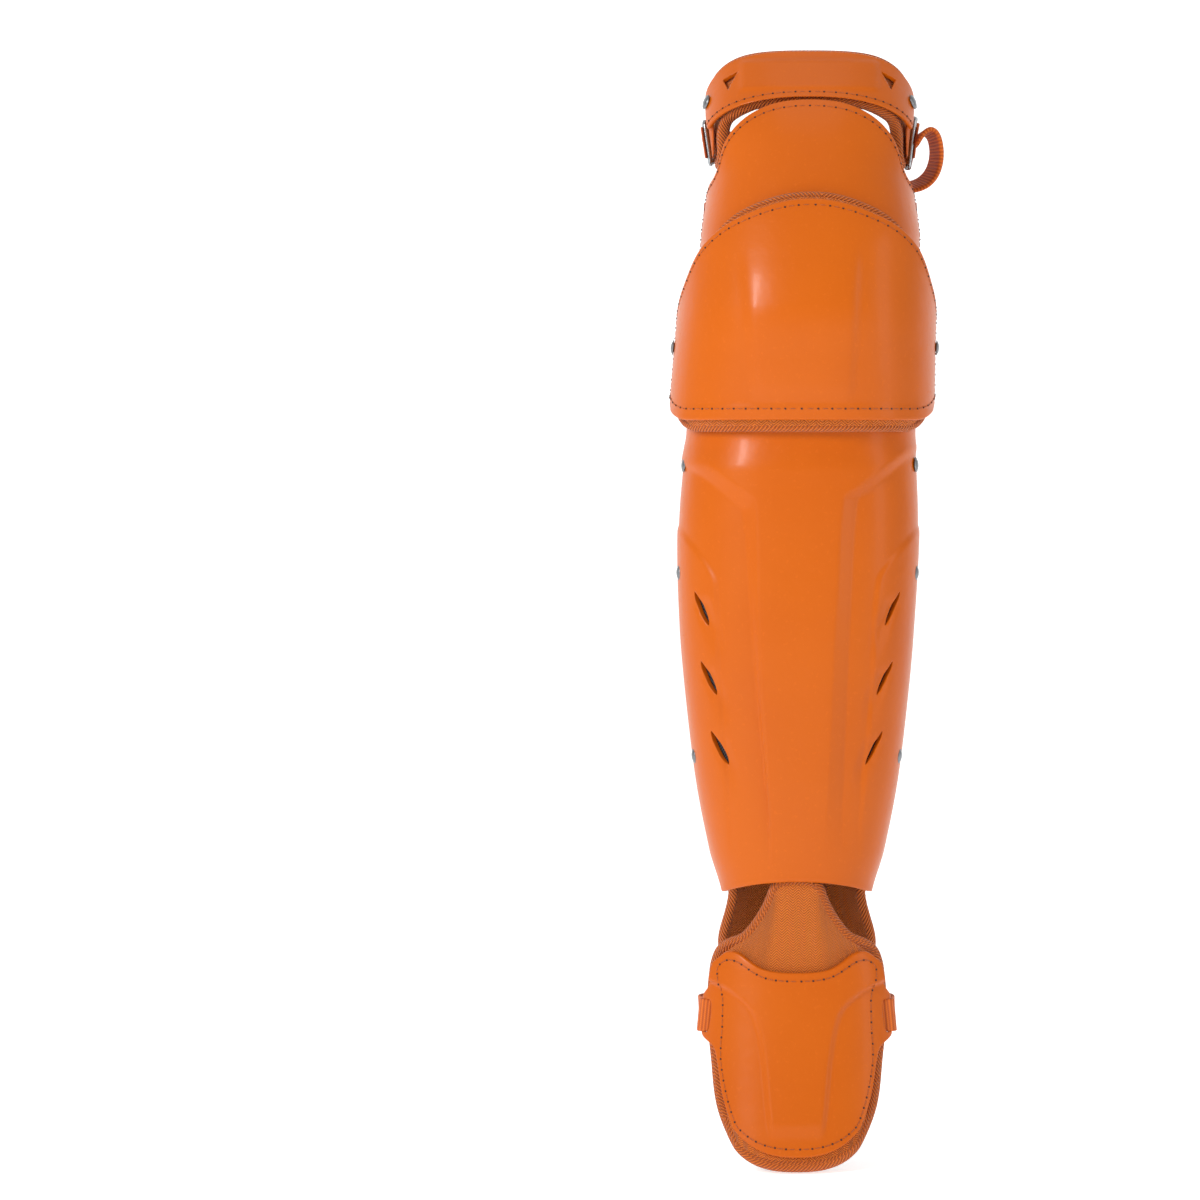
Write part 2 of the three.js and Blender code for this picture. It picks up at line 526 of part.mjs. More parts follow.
// Plates
const shinShares = [0.09, 0.17, 0.24, 0.3, 0.36, 0.43, 0.51, 0.6, 0.72, 0.84, 0.93, 0.98, 0.9985];
const shinColumns = [0, ...columnsAt(shinShares, 96), 1];
const shinSlots = [[0.578, 66, -1], [0.439, 61, -1], [0.3, 54, -1], [0.578, 66, 1], [0.439, 61, 1], [0.3, 54, 1]].map(
  ([share, distance, side]) => {
    const z = shin(share);
    const ratio = distance / (legForm(z).width + PLATE_OUT);
    const angle = side * MathUtils.radToDeg(Math.asin(ratio ** (1 / ROUNDNESS)));
    return cutter(z, angle, slotOutline(11, 4.2, side * 0.5));
  },
);
const plates = {
  shin: panel(shinPlate, {
    inner: flat(PLATE_IN),
    outer: (angle, z) => PLATE_OUT + shinRelief(angle, z),
    columns: shinColumns,
    rows: 16,
  }),
  knee: panel(kneeCap, {
    inner: flat(CAP_IN),
    outer: (angle, z) => CAP_OUT + kneeRelief(angle, z),
    columns: [0, ...columnsAt([0.12, 0.26, 0.36, 0.44, 0.55, 0.68, 0.82, 0.93, 0.985], 95), 1],
    rows: 10,
  }),
  thigh: panel(thighPlate, { inner: flat(PLATE_IN), outer: flat(PLATE_OUT), columns: 20, rows: 7 }),
  top: panel(topPlate, {
    inner: flat(PLATE_IN),
    outer: (angle, z) => PLATE_OUT + topRelief(angle, z),
    columns: 20,
    rows: 6,
  }),
  foot: panel(footPlate, {
    inner: flat(PLATE_IN),
    outer: (angle, z) => PLATE_OUT + footRelief(angle, z),
    columns: [0, ...columnsAt([0.12, 0.24, 0.33, 0.42, 0.52, 0.62, 0.74], 62), 1],
    rows: 10,
  }),
};
const topVents = [-1, 1].map((side) =>
  cutter(lerp(TOP_BOTTOM, TOP_EDGE, 0.42), side * 47, [[side * -5, 8], [side * -5, -9], [side * 5, 1]]),
);
const earSlots = [-1, 1].map((side) => cutter(foot(0.695), side * 61, slotOutline(13.5, 4, 0)));
add("shin_plate", cut(plates.shin, shinSlots), "shell");
add("knee_cap", plates.knee, "shell");
add("thigh_plate", plates.thigh, "shell");
add("thigh_top_plate", cut(plates.top, topVents), "shell");
add("foot_plate", cut(plates.foot, earSlots), "shell");

// Pads: thinner towards their sides. A bound pad is cut back to the inside of its binding.
const padFace = (base, thickness, from, to) => (angle) =>
  base + lerp(thickness, thickness - (PAD - PAD_EDGE), MathUtils.smoothstep(Math.abs(angle), from, to));
const pad = (shape, base, thickness, from, to, columns, rows) =>
  panel(shape, { inner: flat(base), outer: padFace(base, thickness, from, to), columns, rows });
const largest = (solid) => solid.decompose().reduce((a, b) => (a.volume() > b.volume() ? a : b));
function bound(name, shape, geometry, base, acrossCount, upCount) {
  const middle = base + PAD_EDGE / 2;
  const path = border(shape, middle, acrossCount, upCount);
  const clearance = chain(path, PAD, BINDING_HALF_WIDTH + GAP, 4);
  const binding = chain(path, BINDING_HALF_THICKNESS, BINDING_HALF_WIDTH, 6);
  add(`${name}_pad`, toGeometry(largest(toSolid(geometry).subtract(clearance))), "mesh");
  add(`${name}_binding`, toGeometry(largest(binding)), "fabric");
}
bound("thigh_top", topPad, pad(topPad, 0, PAD - 2 * GAP, 50, 66, 16, 3), -2 * GAP, 15, 4);
bound("thigh", thighPad, pad(thighPad, 0, PAD - GAP, 56, 76, 14, 5), 0, 14, 6);
bound("knee", kneePad, pad(kneePad, KNEE_PAD_IN, KNEE_PAD - GAP, 56, 78, 18, 7), KNEE_PAD_IN, 14, 6);
bound("foot", footPad, pad(footPad, 0, PAD, 40, 52, 12, 8), 0, 14, 8);
add("shin_liner", pad(shinLiner, 0, PAD - GAP, 62, 80, 12, 7), "mesh");

// Calf wings: the left one reaches past the middle, and the right one ends beside it
add("calf_wing_left", panel(wingLeft, { inner: flat(0), outer: flat(WING), columns: 5, rows: 11 }), "mesh");
add("calf_wing_right", panel(wingRight, { inner: flat(0), outer: flat(WING), columns: 5, rows: 11 }), "mesh");

// Padded ring behind the knee
const RING_MIDDLE = KNEE_MIDDLE - KNEE_HEIGHT * 0.13;
const ringPath = Array.from({ length: 20 }, (_, i) => {
  const turn = (i * Math.PI) / 10;
  const z = RING_MIDDLE + KNEE_HEIGHT * 0.165 * Math.sin(turn);
  const angle = 24 * Math.cos(turn);
  return { point: wall(z, angle, KNEE_PAD_IN - LAP_GAP - PAD / 2), up: directions(z, angle, 0).out };
});
add("knee_ring", sweep(ringPath, PAD / 2, PAD, { closed: true, sides: 6 }), "mesh");

// Rivets
const RIVETS = {
  top: [TOP_BOTTOM + 1, 70, PLATE_OUT],
  knee: [knee(0.353), 86, CAP_OUT],
  shin_high: [shin(0.868), 78, PLATE_OUT],
  shin_middle: [shin(0.65), 80, PLATE_OUT],
  shin_low: [shin(0.28), 78, PLATE_OUT],
};
for (const [name, [z, angle, offset]] of Object.entries(RIVETS)) {
  add(`rivet_${name}_left`, rivet(z, -angle, offset), "steel");
  add(`rivet_${name}_right`, rivet(z, angle, offset), "steel");
}

// A strap's way round the back, from under the plate on the left to under the plate on the right.
// s is the length along it, w the distance up and h the distance from the leg form.
function rail({ z, sag = 0, start, lift = 0, standoff = 0 }) {
  const heightAt = (angle) => z - sag * MathUtils.smoothstep(180 - Math.abs(180 - Math.abs(angle)), 120, 180);
  const extra = (angle) => lift + standoff * MathUtils.smoothstep(180 - Math.abs(180 - Math.abs(angle)), 108, 150);
  const count = 120;
  const angles = Array.from({ length: count + 1 }, (_, i) => -lerp(start, 360 - start, i / count));
  const base = angles.map((angle) => wall(heightAt(angle), angle, RING_PLANE + extra(angle)));
  const rows = [{ s: 0, angle: angles[0] }];
  for (let i = 1; i <= count; i++) {
    rows.push({ s: rows[i - 1].s + base[i].distanceTo(base[i - 1]), angle: angles[i] });
  }
  const at = (s, h, above = 0) => {
    const angle = between(rows, "angle", s, "s");
    return wall(heightAt(angle) + above, angle, h + extra(angle));
  };
  // Each bar at the two ends stands straight across the way
  const length = rows[count].s;
  const slide = length - TAB_LENGTH - BUCKLE_REACH;
  const straight = curve([[0, 0], [TAB_LENGTH - 7, TAB_LENGTH - 7], [TAB_LENGTH - 4, TAB_LENGTH], [TAB_LENGTH + 4, TAB_LENGTH],
    [HOOK_BAR - 18, HOOK_BAR], [HOOK_BAR + 5, HOOK_BAR], [HOOK_BAR + 14, HOOK_BAR + 14], [slide - 10, slide - 10],
    [slide - 4, slide], [slide + 4, slide], [length - TAB_LENGTH - 4, length - TAB_LENGTH],
    [length - TAB_LENGTH + 4, length - TAB_LENGTH], [length - TAB_LENGTH + 8, length - TAB_LENGTH + 8], [length, length]]);
  const up = (place) => {
    const s = straight(place);
    const along = at(s + 1, RING_PLANE).sub(at(s - 1, RING_PLANE)).normalize();
    const rise = at(s, RING_PLANE, 1).sub(at(s, RING_PLANE, -1));
    return rise.addScaledVector(along, -rise.dot(along)).normalize();
  };
  return { length, at, up };
}

// Bends a geometry with x along a strap's way, y up and z outwards on to that way
function bend(geometry, way) {
  const bare = geometry.clone();
  bare.deleteAttribute("normal");
  bare.deleteAttribute("uv");
  const merged = mergeVertices(bare, 1e-4);
  const p = merged.attributes.position;
  const points = Array.from({ length: p.count }, (_, i) => {
    return way.at(p.getX(i), p.getZ(i)).addScaledVector(way.up(p.getX(i)), p.getY(i));
  });
  const index = merged.index.array;
  const faces = Array.from({ length: index.length / 3 }, (_, i) => [index[3 * i], index[3 * i + 1], index[3 * i + 2]]);
  return closedGeometry(points, faces);
}

const onWay = (way, stations) =>
  stations.map(([s, h, middle = s]) => ({ point: way.at(s, h), up: way.up(middle) }));
const turnAround = (s, radius, from, to, count) =>
  Array.from({ length: count + 1 }, (_, i) => {
    const turn = degToRad(lerp(from, to, i / count));
    return [s + radius * Math.cos(turn), RING_PLANE + radius * Math.sin(turn), s];
  });
const mirrored = (stations, length) => stations.map(([s, h, middle = s]) => [length - s, h, length - middle]);

const TAB_TURN = WIRE_RADIUS + 2 * GAP + WEBBING / 2;
const STRAP_TURN = WIRE_RADIUS + 2 * GAP + STRAP / 2;
const tabStations = [
  [0, RING_PLANE - TAB_TURN],
  [TAB_LENGTH * 0.5, RING_PLANE - TAB_TURN],
  ...turnAround(TAB_LENGTH, TAB_TURN, -90, 125, 6),
];
const strapStart = (bar) => [
  [bar + STRAP_END, RING_PLANE - STRAP_TURN],
  [bar + STRAP_END * 0.5, RING_PLANE - STRAP_TURN],
  [bar + 2, RING_PLANE - STRAP_TURN],
  ...turnAround(bar, STRAP_TURN, 270, 90, 4),
  [bar + 2, RING_PLANE + STRAP_TURN],
];

function ringSweep(way, corners) {
  const path = corners.map(([s, w]) => ({
    point: way.at(s, RING_PLANE).addScaledVector(way.up(s), w),
    up: way.at(s, RING_PLANE + 5).sub(way.at(s, RING_PLANE)).normalize(),
  }));
  return sweep(path, WIRE_RADIUS, WIRE_RADIUS, { closed: true, sides: 5 });
}

// D-ring: straight bar in the tab, bow towards the hook
const bow = Array.from({ length: 7 }, (_, i) => {
  const turn = degToRad(lerp(-78, 78, i / 6));
  return [TAB_LENGTH + RING_REACH * Math.cos(turn), (RING_HALF_HEIGHT - 1.5) * Math.sin(turn)];
});
const dRing = [[TAB_LENGTH, 13], [TAB_LENGTH, -13], ...bow];
const rounded = (near, far, half, cut) =>
  [[near, half - cut], [near, -half + cut], [near + cut, -half], [far - cut, -half], [far, -half + cut],
    [far, half - cut], [far - cut, half], [near + cut, half]];

// Hook: a flat plate with a slot for the strap, and a bent tongue round the ring's bow
function hook() {
  const low = RING_PLANE - HOOK_PLATE / 2;
  const plan = new THREE.Shape();
  const neck = HOOK_START + HOOK_PLATE + 7;
  const side = [[neck, HOOK_WIDTH / 2], [HOOK_START + 12, HOOK_HALF_HEIGHT - 3], [HOOK_START + 14, HOOK_HALF_HEIGHT],
    [HOOK_FAR, HOOK_HALF_HEIGHT]];
  plan.setFromPoints(
    [...side, ...side.map(([x, y]) => [x, -y]).reverse()].map(([x, y]) => new THREE.Vector2(x, y)),
  );
  const plate = new THREE.ExtrudeGeometry(plan, { depth: HOOK_PLATE, bevelEnabled: false }).translate(0, 0, low);
  const slot = new THREE.BoxGeometry(4.6, STRAP_WIDTH + 2, HOOK_PLATE * 3).translate(HOOK_BAR - 3.9, 0, RING_PLANE);
  const over = RING_PLANE + WIRE_RADIUS + 2 * GAP;
  const under = RING_PLANE - WIRE_RADIUS;
  const tongue = new THREE.Shape(
    [[neck + 1.5, low], [neck + 1.5, low + HOOK_PLATE], [neck - 2, over + HOOK_PLATE], [HOOK_START + 0.6, over + HOOK_PLATE],
      [HOOK_START, over + HOOK_PLATE - 0.6], [HOOK_START, under], [HOOK_START + HOOK_PLATE - 0.4, under],
      [HOOK_START + HOOK_PLATE - 0.4, over], [neck - 3, over], [neck - 1, low]].map(([x, y]) => new THREE.Vector2(x, y)),
  );
  const bent = new THREE.ExtrudeGeometry(tongue, { depth: HOOK_WIDTH, bevelEnabled: false });
  bent.rotateX(Math.PI / 2).translate(0, HOOK_WIDTH / 2, 0);
  return toGeometry(toSolid(plate).subtract(toSolid(slot)).add(toSolid(bent)));
}

function strapSet(name, place) {
  const way = rail(place);
  const ringBar = way.length - TAB_LENGTH;
  const slideBar = ringBar - BUCKLE_REACH;
  add(`${name}_hook_tab`, sweep(onWay(way, tabStations), TAB_WIDTH / 2, WEBBING / 2), "elastic");
  add(`${name}_d_ring`, ringSweep(way, dRing), "steel");
  add(`${name}_hook`, bend(hook(), way), "steel");
  add(`${name}_slide_ring`, ringSweep(way, rounded(slideBar, ringBar, RING_HALF_HEIGHT, 2.2)), "steel");
  add(`${name}_ring_tab`, sweep(onWay(way, mirrored(tabStations, way.length)), TAB_WIDTH / 2, WEBBING / 2), "elastic");
  const from = HOOK_BAR;
  const outer = RING_PLANE + STRAP_TURN;
  const count = 13;
  const stations = [
    ...strapStart(from),
    ...Array.from({ length: count }, (_, i) => [lerp(from + 8, slideBar - 8, i / (count - 1)), outer]),
    ...mirrored(strapStart(way.length - slideBar), way.length).reverse(),
  ];
  add(`${name}_strap`, sweep(onWay(way, stations), STRAP_WIDTH / 2, STRAP / 2), "elastic");
}
strapSet("thigh_top", { z: TOP_BOTTOM - 26, sag: 14, start: 76, lift: -0.25, standoff: 3 });
strapSet("thigh", { z: thigh(0.4), start: 84, standoff: 5 });
strapSet("knee", { z: knee(0.353), start: 88, lift: KNEE_PAD_IN, standoff: 3 });
strapSet("calf", { z: shin(0.65), start: 90 });
strapSet("lower_calf", { z: shin(0.28), start: 88 });

// Foot strap, through the two slots of the foot plate
const footWay = rail({ z: foot(0.695), start: 61 });
const footBehind = PAD_EDGE + GAP + STRAP / 2;
const footFront = PLATE_OUT + GAP + STRAP / 2;
const footStations = [[-9, footFront], [-3, footFront], [2.2, footBehind], [10, footBehind]];
add("foot_strap", sweep(onWay(footWay, [
  ...footStations,
  ...Array.from({ length: 13 }, (_, i) => [lerp(22, footWay.length - 22, i / 12), footBehind + 1.5]),
  ...mirrored(footStations, footWay.length).reverse(),
]), FOOT_STRAP_WIDTH / 2, STRAP / 2), "elastic");

whole.position.set(0, 0, -KNEE_MIDDLE);
export default whole;
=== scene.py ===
"""A baseball catcher's leg guard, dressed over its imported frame.

The plates, pads, bindings and straps follow the same leg form as the part's solids, in
millimetres on the leg, with far more detail. Everything is made in place, in metres, in the
row's frame.
"""

import math

import bmesh
import bpy
import numpy as np
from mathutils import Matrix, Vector


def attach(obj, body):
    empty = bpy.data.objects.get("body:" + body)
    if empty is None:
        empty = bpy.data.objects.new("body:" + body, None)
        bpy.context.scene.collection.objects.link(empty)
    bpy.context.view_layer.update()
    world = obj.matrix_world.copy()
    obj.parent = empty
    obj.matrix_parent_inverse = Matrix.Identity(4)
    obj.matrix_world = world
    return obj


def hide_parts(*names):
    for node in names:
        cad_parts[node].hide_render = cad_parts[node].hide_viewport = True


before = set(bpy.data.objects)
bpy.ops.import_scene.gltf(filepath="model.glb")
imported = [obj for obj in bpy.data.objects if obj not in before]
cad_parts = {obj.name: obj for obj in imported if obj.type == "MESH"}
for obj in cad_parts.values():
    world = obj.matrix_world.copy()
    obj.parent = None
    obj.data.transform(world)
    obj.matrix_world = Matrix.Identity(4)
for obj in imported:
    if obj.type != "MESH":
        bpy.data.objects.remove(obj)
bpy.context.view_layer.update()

# ---------------------------------------------------------------- sizes, in millimetres
FOOT_HEIGHT, ANKLE_GAP, SHIN_LENGTH, KNEE_HEIGHT = 146, 36, 340, 150
THIGH_HEIGHT, TOP_PLATE_HEIGHT, TOP_RAISE = 131, 36, 2
KNEE_OVER_SHIN, KNEE_OVER_THIGH, LINER_TOP_DROP = 17, 57, 42
CALF_HALF_WIDTH, SHIN_DEPTH, CALF_DEPTH, KNEE_DEPTH = 71.7, 52, 50, 67
THIGH_HALF_WIDTH, THIGH_DEPTH, THIGH_SETBACK, THIGH_SIDE_LEAN = 63.5, 62, 90, 9.5
FOOT_HALF_WIDTH, FOOT_DEPTH, FOOT_FLARE, ROUNDNESS = 60, 42, 28, 0.85
PAD, PAD_EDGE, KNEE_PAD, WING, SHELL, GAP = 7, 4.6, 7.6, 4.8, 3, 0.3
LAY_GAP, LAP_GAP, RELIEF = 0.8, 1.2, 2.2
BINDING_HALF_WIDTH, BINDING_HALF_THICKNESS = 4.2, 3.3
STRAP_WIDTH, STRAP, FOOT_STRAP_WIDTH, STRAP_END = 30, 1.6, 22, 20
TAB_WIDTH, TAB_LENGTH, WEBBING = 22, 21, 1.1
WIRE_RADIUS, RING_HALF_HEIGHT, RING_REACH, BUCKLE_REACH, RING_PLANE = 1.6, 17.5, 13, 9, 9
HOOK_PLATE, HOOK_LENGTH = 2, 23
RIVET_RADIUS, RIVET_HEIGHT = 5, 2.2
STITCH_PITCH, STITCH_LENGTH, STITCH_RADIUS, PLATE_STITCH_PITCH = 4.2, 2.9, 0.5, 7.2

SHIN_BOTTOM = FOOT_HEIGHT + ANKLE_GAP
SHIN_TOP = SHIN_BOTTOM + SHIN_LENGTH
KNEE_BOTTOM = SHIN_TOP - KNEE_OVER_SHIN
KNEE_TOP = KNEE_BOTTOM + KNEE_HEIGHT
THIGH_BOTTOM = KNEE_TOP - KNEE_OVER_THIGH
THIGH_TOP = THIGH_BOTTOM + THIGH_HEIGHT
TOP_BOTTOM = THIGH_TOP + TOP_RAISE
TOP_EDGE = TOP_BOTTOM + TOP_PLATE_HEIGHT
KNEE_MIDDLE = KNEE_BOTTOM + KNEE_HEIGHT / 2
LINER_TOP = SHIN_TOP - LINER_TOP_DROP
PLATE_IN = PAD + LAY_GAP
PLATE_OUT = PLATE_IN + SHELL
KNEE_PAD_IN = PLATE_OUT + LAP_GAP
KNEE_PAD_OUT = KNEE_PAD_IN + KNEE_PAD
CAP_IN = KNEE_PAD_OUT + LAP_GAP
CAP_OUT = CAP_IN + SHELL
HOOK_START = TAB_LENGTH + RING_REACH - WIRE_RADIUS - 2 * GAP - HOOK_PLATE
HOOK_FAR = HOOK_START + HOOK_LENGTH
HOOK_BAR = HOOK_FAR - 1.6


def foot(share):
    return FOOT_HEIGHT * share


def shin(share):
    return SHIN_BOTTOM + SHIN_LENGTH * share


def knee(share):
    return KNEE_BOTTOM + KNEE_HEIGHT * share


def thigh(share):
    return THIGH_BOTTOM + THIGH_HEIGHT * share


def lerp(a, b, t):
    return a + (b - a) * t


def smooth(low, high, value):
    t = np.clip((np.asarray(value, float) - low) / (high - low), 0, 1)
    return t * t * (3 - 2 * t)


def unit(vectors):
    return vectors / np.linalg.norm(vectors, axis=-1, keepdims=True)


def row(z, width, front, back, flare=0, setback=0, lean=0):
    y = THIGH_SETBACK * setback - FOOT_FLARE * flare
    return z, THIGH_SIDE_LEAN * lean, y, width, front, CALF_DEPTH * back


def knee_width(share):
    return lerp(CALF_HALF_WIDTH, THIGH_HALF_WIDTH, share)


LEG_ROWS = np.array([
    row(foot(0), FOOT_HALF_WIDTH * 0.97, FOOT_DEPTH, 0.6, flare=1),
    row(foot(0.5), FOOT_HALF_WIDTH, FOOT_DEPTH, 0.6, flare=0.45),
    row(foot(0.92), FOOT_HALF_WIDTH * 0.96, FOOT_DEPTH, 0.62, flare=0.1),
    row(shin(0), CALF_HALF_WIDTH * 0.59, SHIN_DEPTH * 0.72, 0.66),
    row(shin(0.09), CALF_HALF_WIDTH * 0.69, SHIN_DEPTH * 0.78, 0.74),
    row(shin(0.235), CALF_HALF_WIDTH * 0.81, SHIN_DEPTH * 0.86, 0.88),
    row(shin(0.38), CALF_HALF_WIDTH * 0.895, SHIN_DEPTH * 0.92, 0.98),
    row(shin(0.53), CALF_HALF_WIDTH * 0.96, SHIN_DEPTH * 0.97, 1),
    row(shin(0.74), CALF_HALF_WIDTH, SHIN_DEPTH, 0.99, lean=0.12),
    row(shin(0.92), CALF_HALF_WIDTH * 0.955, SHIN_DEPTH * 1.04, 0.92, lean=0.28),
    row(knee(0.25), knee_width(0.6), KNEE_DEPTH * 0.91, 0.9, lean=0.5),
    row(knee(0.51), knee_width(0.75), KNEE_DEPTH, 0.9, setback=0.02, lean=0.72),
    row(knee(0.75), knee_width(0.82), KNEE_DEPTH * 0.97, 0.9, setback=0.09, lean=0.9),
    row(thigh(0.3), THIGH_HALF_WIDTH * 1.02, THIGH_DEPTH * 1.03, 0.9, setback=0.155, lean=1),
    row(thigh(0.5), THIGH_HALF_WIDTH * 0.97, THIGH_DEPTH, 0.9, setback=0.27, lean=1),
    row(thigh(0.62), THIGH_HALF_WIDTH * 0.945, THIGH_DEPTH * 0.97, 0.89, setback=0.34, lean=1),
    row(thigh(0.85), THIGH_HALF_WIDTH, THIGH_DEPTH * 0.92, 0.87, setback=0.5, lean=0.95),
    row(thigh(1), THIGH_HALF_WIDTH * 1.02, THIGH_DEPTH * 0.88, 0.85, setback=0.64, lean=0.95),
    row(TOP_EDGE, THIGH_HALF_WIDTH * 1.03, THIGH_DEPTH * 0.82, 0.8, setback=1, lean=0.9),
])


def between(places, values, at):
    """Smooth values at places, between the rows of a table, with no overshoot."""
    places, values, at = (np.asarray(a, float) for a in (places, values, at))
    i = np.clip(np.searchsorted(places, at, side="left") - 1, 0, len(places) - 2)
    h, j = np.maximum(i - 1, 0), np.minimum(i + 2, len(places) - 1)
    span, rise = places[i + 1] - places[i], values[i + 1] - values[i]
    t = np.clip((at - places[i]) / span, 0, 1)

    def limit(slope):
        kept = np.sign(rise) * np.minimum(np.abs(slope), 2.5 * np.abs(rise / span))
        return np.where(slope * rise <= 0, 0, kept)

    before = limit((values[i + 1] - values[h]) / (places[i + 1] - places[h])) * span
    after = limit((values[j] - values[i]) / (places[j] - places[i])) * span
    return values[i] + t * t * (3 - 2 * t) * rise + t * (1 - t) * ((1 - t) * before - t * after)


def leg_form(z):
    return [between(LEG_ROWS[:, 0], LEG_ROWS[:, k], z) for k in range(1, 6)]


def wall(z, angle, offset):
    """Points in millimetres at a distance from the leg form, at heights z and angles in degrees."""
    z, angle, offset = np.broadcast_arrays(*(np.asarray(a, float) for a in (z, angle, offset)))
    x, y, width, front, back = leg_form(z)
    s, c = np.sin(np.radians(angle)), np.cos(np.radians(angle))
    depth = np.where(c > 0, front, back)
    across = np.sign(s) * np.abs(s) ** ROUNDNESS
    along = -np.sign(c) * np.abs(c) ** ROUNDNESS
    power = 2 / ROUNDNESS - 1
    nx = np.sign(across) * np.abs(across) ** power / width
    ny = np.sign(along) * np.abs(along) ** power / depth
    length = np.hypot(nx, ny)
    x = x + width * across + offset * nx / length
    y = y + depth * along + offset * ny / length
    return np.stack([x, y, z], -1)


def across(z, angle, offset):
    return wall(z, angle, offset)[..., 0] - leg_form(np.asarray(z, float))[0]


def outwards(z, angle, offset):
    """Unit normals of the leg form."""
    girth = wall(z, np.asarray(angle) + 0.5, offset) - wall(z, np.asarray(angle) - 0.5, offset)
    up = wall(np.asarray(z) + 0.5, angle, offset) - wall(np.asarray(z) - 0.5, angle, offset)
    return unit(np.cross(girth, up))


def angle_for(distance, z, offset):
    """The angle at which the form is that far from the middle, as seen from the front."""
    ratio = np.abs(distance) / (leg_form(z)[2] + offset)
    return np.sign(distance) * np.degrees(np.arcsin(np.minimum(ratio, 0.9999) ** (1 / ROUNDNESS)))


def curve(*pairs):
    places, values = zip(*pairs)
    return lambda at: between(places, values, at)


def metres(points):
    """Millimetres up from the sole, to metres in the row's frame."""
    return (np.asarray(points, float) - [0, 0, KNEE_MIDDLE]) / 1000


# ---------------------------------------------------------------- outlines, as in the part
class Outline:
    def __init__(self, left, right, bottom, top):
        self.left, self.right, self.bottom, self.top = left, right, bottom, top

    def __call__(self, u, v):
        z = lerp(self.bottom(u), self.top(u), v)
        left = self.left(lerp(self.bottom(0 * v), self.top(0 * v), v))
        right = self.right(lerp(self.bottom(0 * v + 1), self.top(0 * v + 1), v))
        return lerp(left, right, u), z


def symmetric(side, bottom, top):
    return Outline(lambda z: -side(z), side,
                   lambda u: bottom(np.abs(2 * u - 1)), lambda u: top(np.abs(2 * u - 1)))


def level_at_middle(*pairs):
    """A curve over the distance from the middle, level at the middle."""
    (_, middle), (place, value) = pairs[:2]
    return curve((-place, value), *pairs)


def below(level, *pairs):
    return level_at_middle(*[(place, level + drop) for place, drop in pairs])


def corner_rise(t, side_angle, half_width, radius):
    """The lift of a lower edge with corners round in front view, by the share t to its side."""
    distance = half_width * np.sin(np.radians(np.minimum(side_angle * t, 90))) ** ROUNDNESS
    inside = np.clip((distance - half_width + radius) / radius, 0, 0.98)
    return radius * (1 - np.sqrt(1 - inside**2))


top_plate = symmetric(
    curve((TOP_BOTTOM - 22, 74), (TOP_BOTTOM, 75.5), (TOP_BOTTOM + 10, 72), (TOP_BOTTOM + 27, 50)),
    lambda t: TOP_BOTTOM - 21 * t * t,
    lambda t: TOP_EDGE - 10 * t**3,
)
top_pad = symmetric(
    curve((THIGH_TOP - 44, 100), (THIGH_TOP - 10, 104), (THIGH_TOP + 12, 88), (THIGH_TOP + 26, 60)),
    below(THIGH_TOP, (0, 0.5), (0.3, -2), (0.4, -5), (0.5, -8.5), (0.58, -12), (0.64, -19),
          (0.7, -35), (0.8, -43), (1, -42)),
    lambda t: TOP_EDGE - 2 - 10 * t**3,
)
thigh_plate = symmetric(
    curve((THIGH_BOTTOM, 86), (THIGH_BOTTOM + 12, 92), (THIGH_BOTTOM + 60, 92),
          (THIGH_TOP - 58, 88)),
    lambda t: THIGH_BOTTOM + 6 * t**4,
    below(THIGH_TOP, (0, 0), (0.18, -2.5), (0.35, -10), (0.49, -20), (0.61, -32), (0.7, -45),
          (0.8, -53), (1, -58)),
)
thigh_pad = symmetric(
    curve((THIGH_BOTTOM, 96), (THIGH_BOTTOM + 22, 124), (THIGH_BOTTOM + 60, 126),
          (THIGH_TOP - 50, 118)),
    lambda t: THIGH_BOTTOM + 8 * t**4,
    below(THIGH_TOP, (0, -9), (0.13, -11), (0.25, -16), (0.36, -25), (0.45, -39), (0.53, -48),
          (0.62, -52), (1, -52)),
)
knee_cap = symmetric(
    curve((KNEE_BOTTOM, 88), (KNEE_BOTTOM + 15, 95), (KNEE_BOTTOM + 70, 95)),
    lambda t: KNEE_BOTTOM + 3 * t * t + corner_rise(t, 95, 86, 12),
    below(KNEE_TOP, (0, 0), (0.33, -12), (0.57, -31), (0.75, -55), (1, -76)),
)
knee_pad = symmetric(
    curve((KNEE_BOTTOM - 6, 100), (KNEE_BOTTOM + 15, 110), (KNEE_BOTTOM + 50, 112),
          (KNEE_TOP - 62, 106)),
    lambda t: KNEE_BOTTOM - 5 + 4 * t * t + corner_rise(t, 110, 81, 12),
    below(KNEE_TOP, (0, 2.5), (0.3, -9), (0.5, -28), (0.66, -48), (1, -64)),
)
shin_plate = symmetric(
    curve((shin(0), 76), (shin(0.05), 86), (shin(0.2), 94), (shin(0.5), 99), (shin(0.88), 98),
          (shin(1), 88)),
    lambda t: SHIN_BOTTOM + 11 * (1 - t**1.7),
    lambda t: SHIN_TOP - 8 * t**4,
)
SHIN_PAD_SIDE = 95
shin_liner = symmetric(
    lambda z: SHIN_PAD_SIDE + 0 * z,
    lambda t: SHIN_BOTTOM + 5 + 11 * (1 - t**1.7),
    lambda t: LINER_TOP + 0 * t,
)
wing_edge = curve((shin(-0.16), 132), (shin(-0.08), 108), (shin(0.02), SHIN_PAD_SIDE + 0.5))
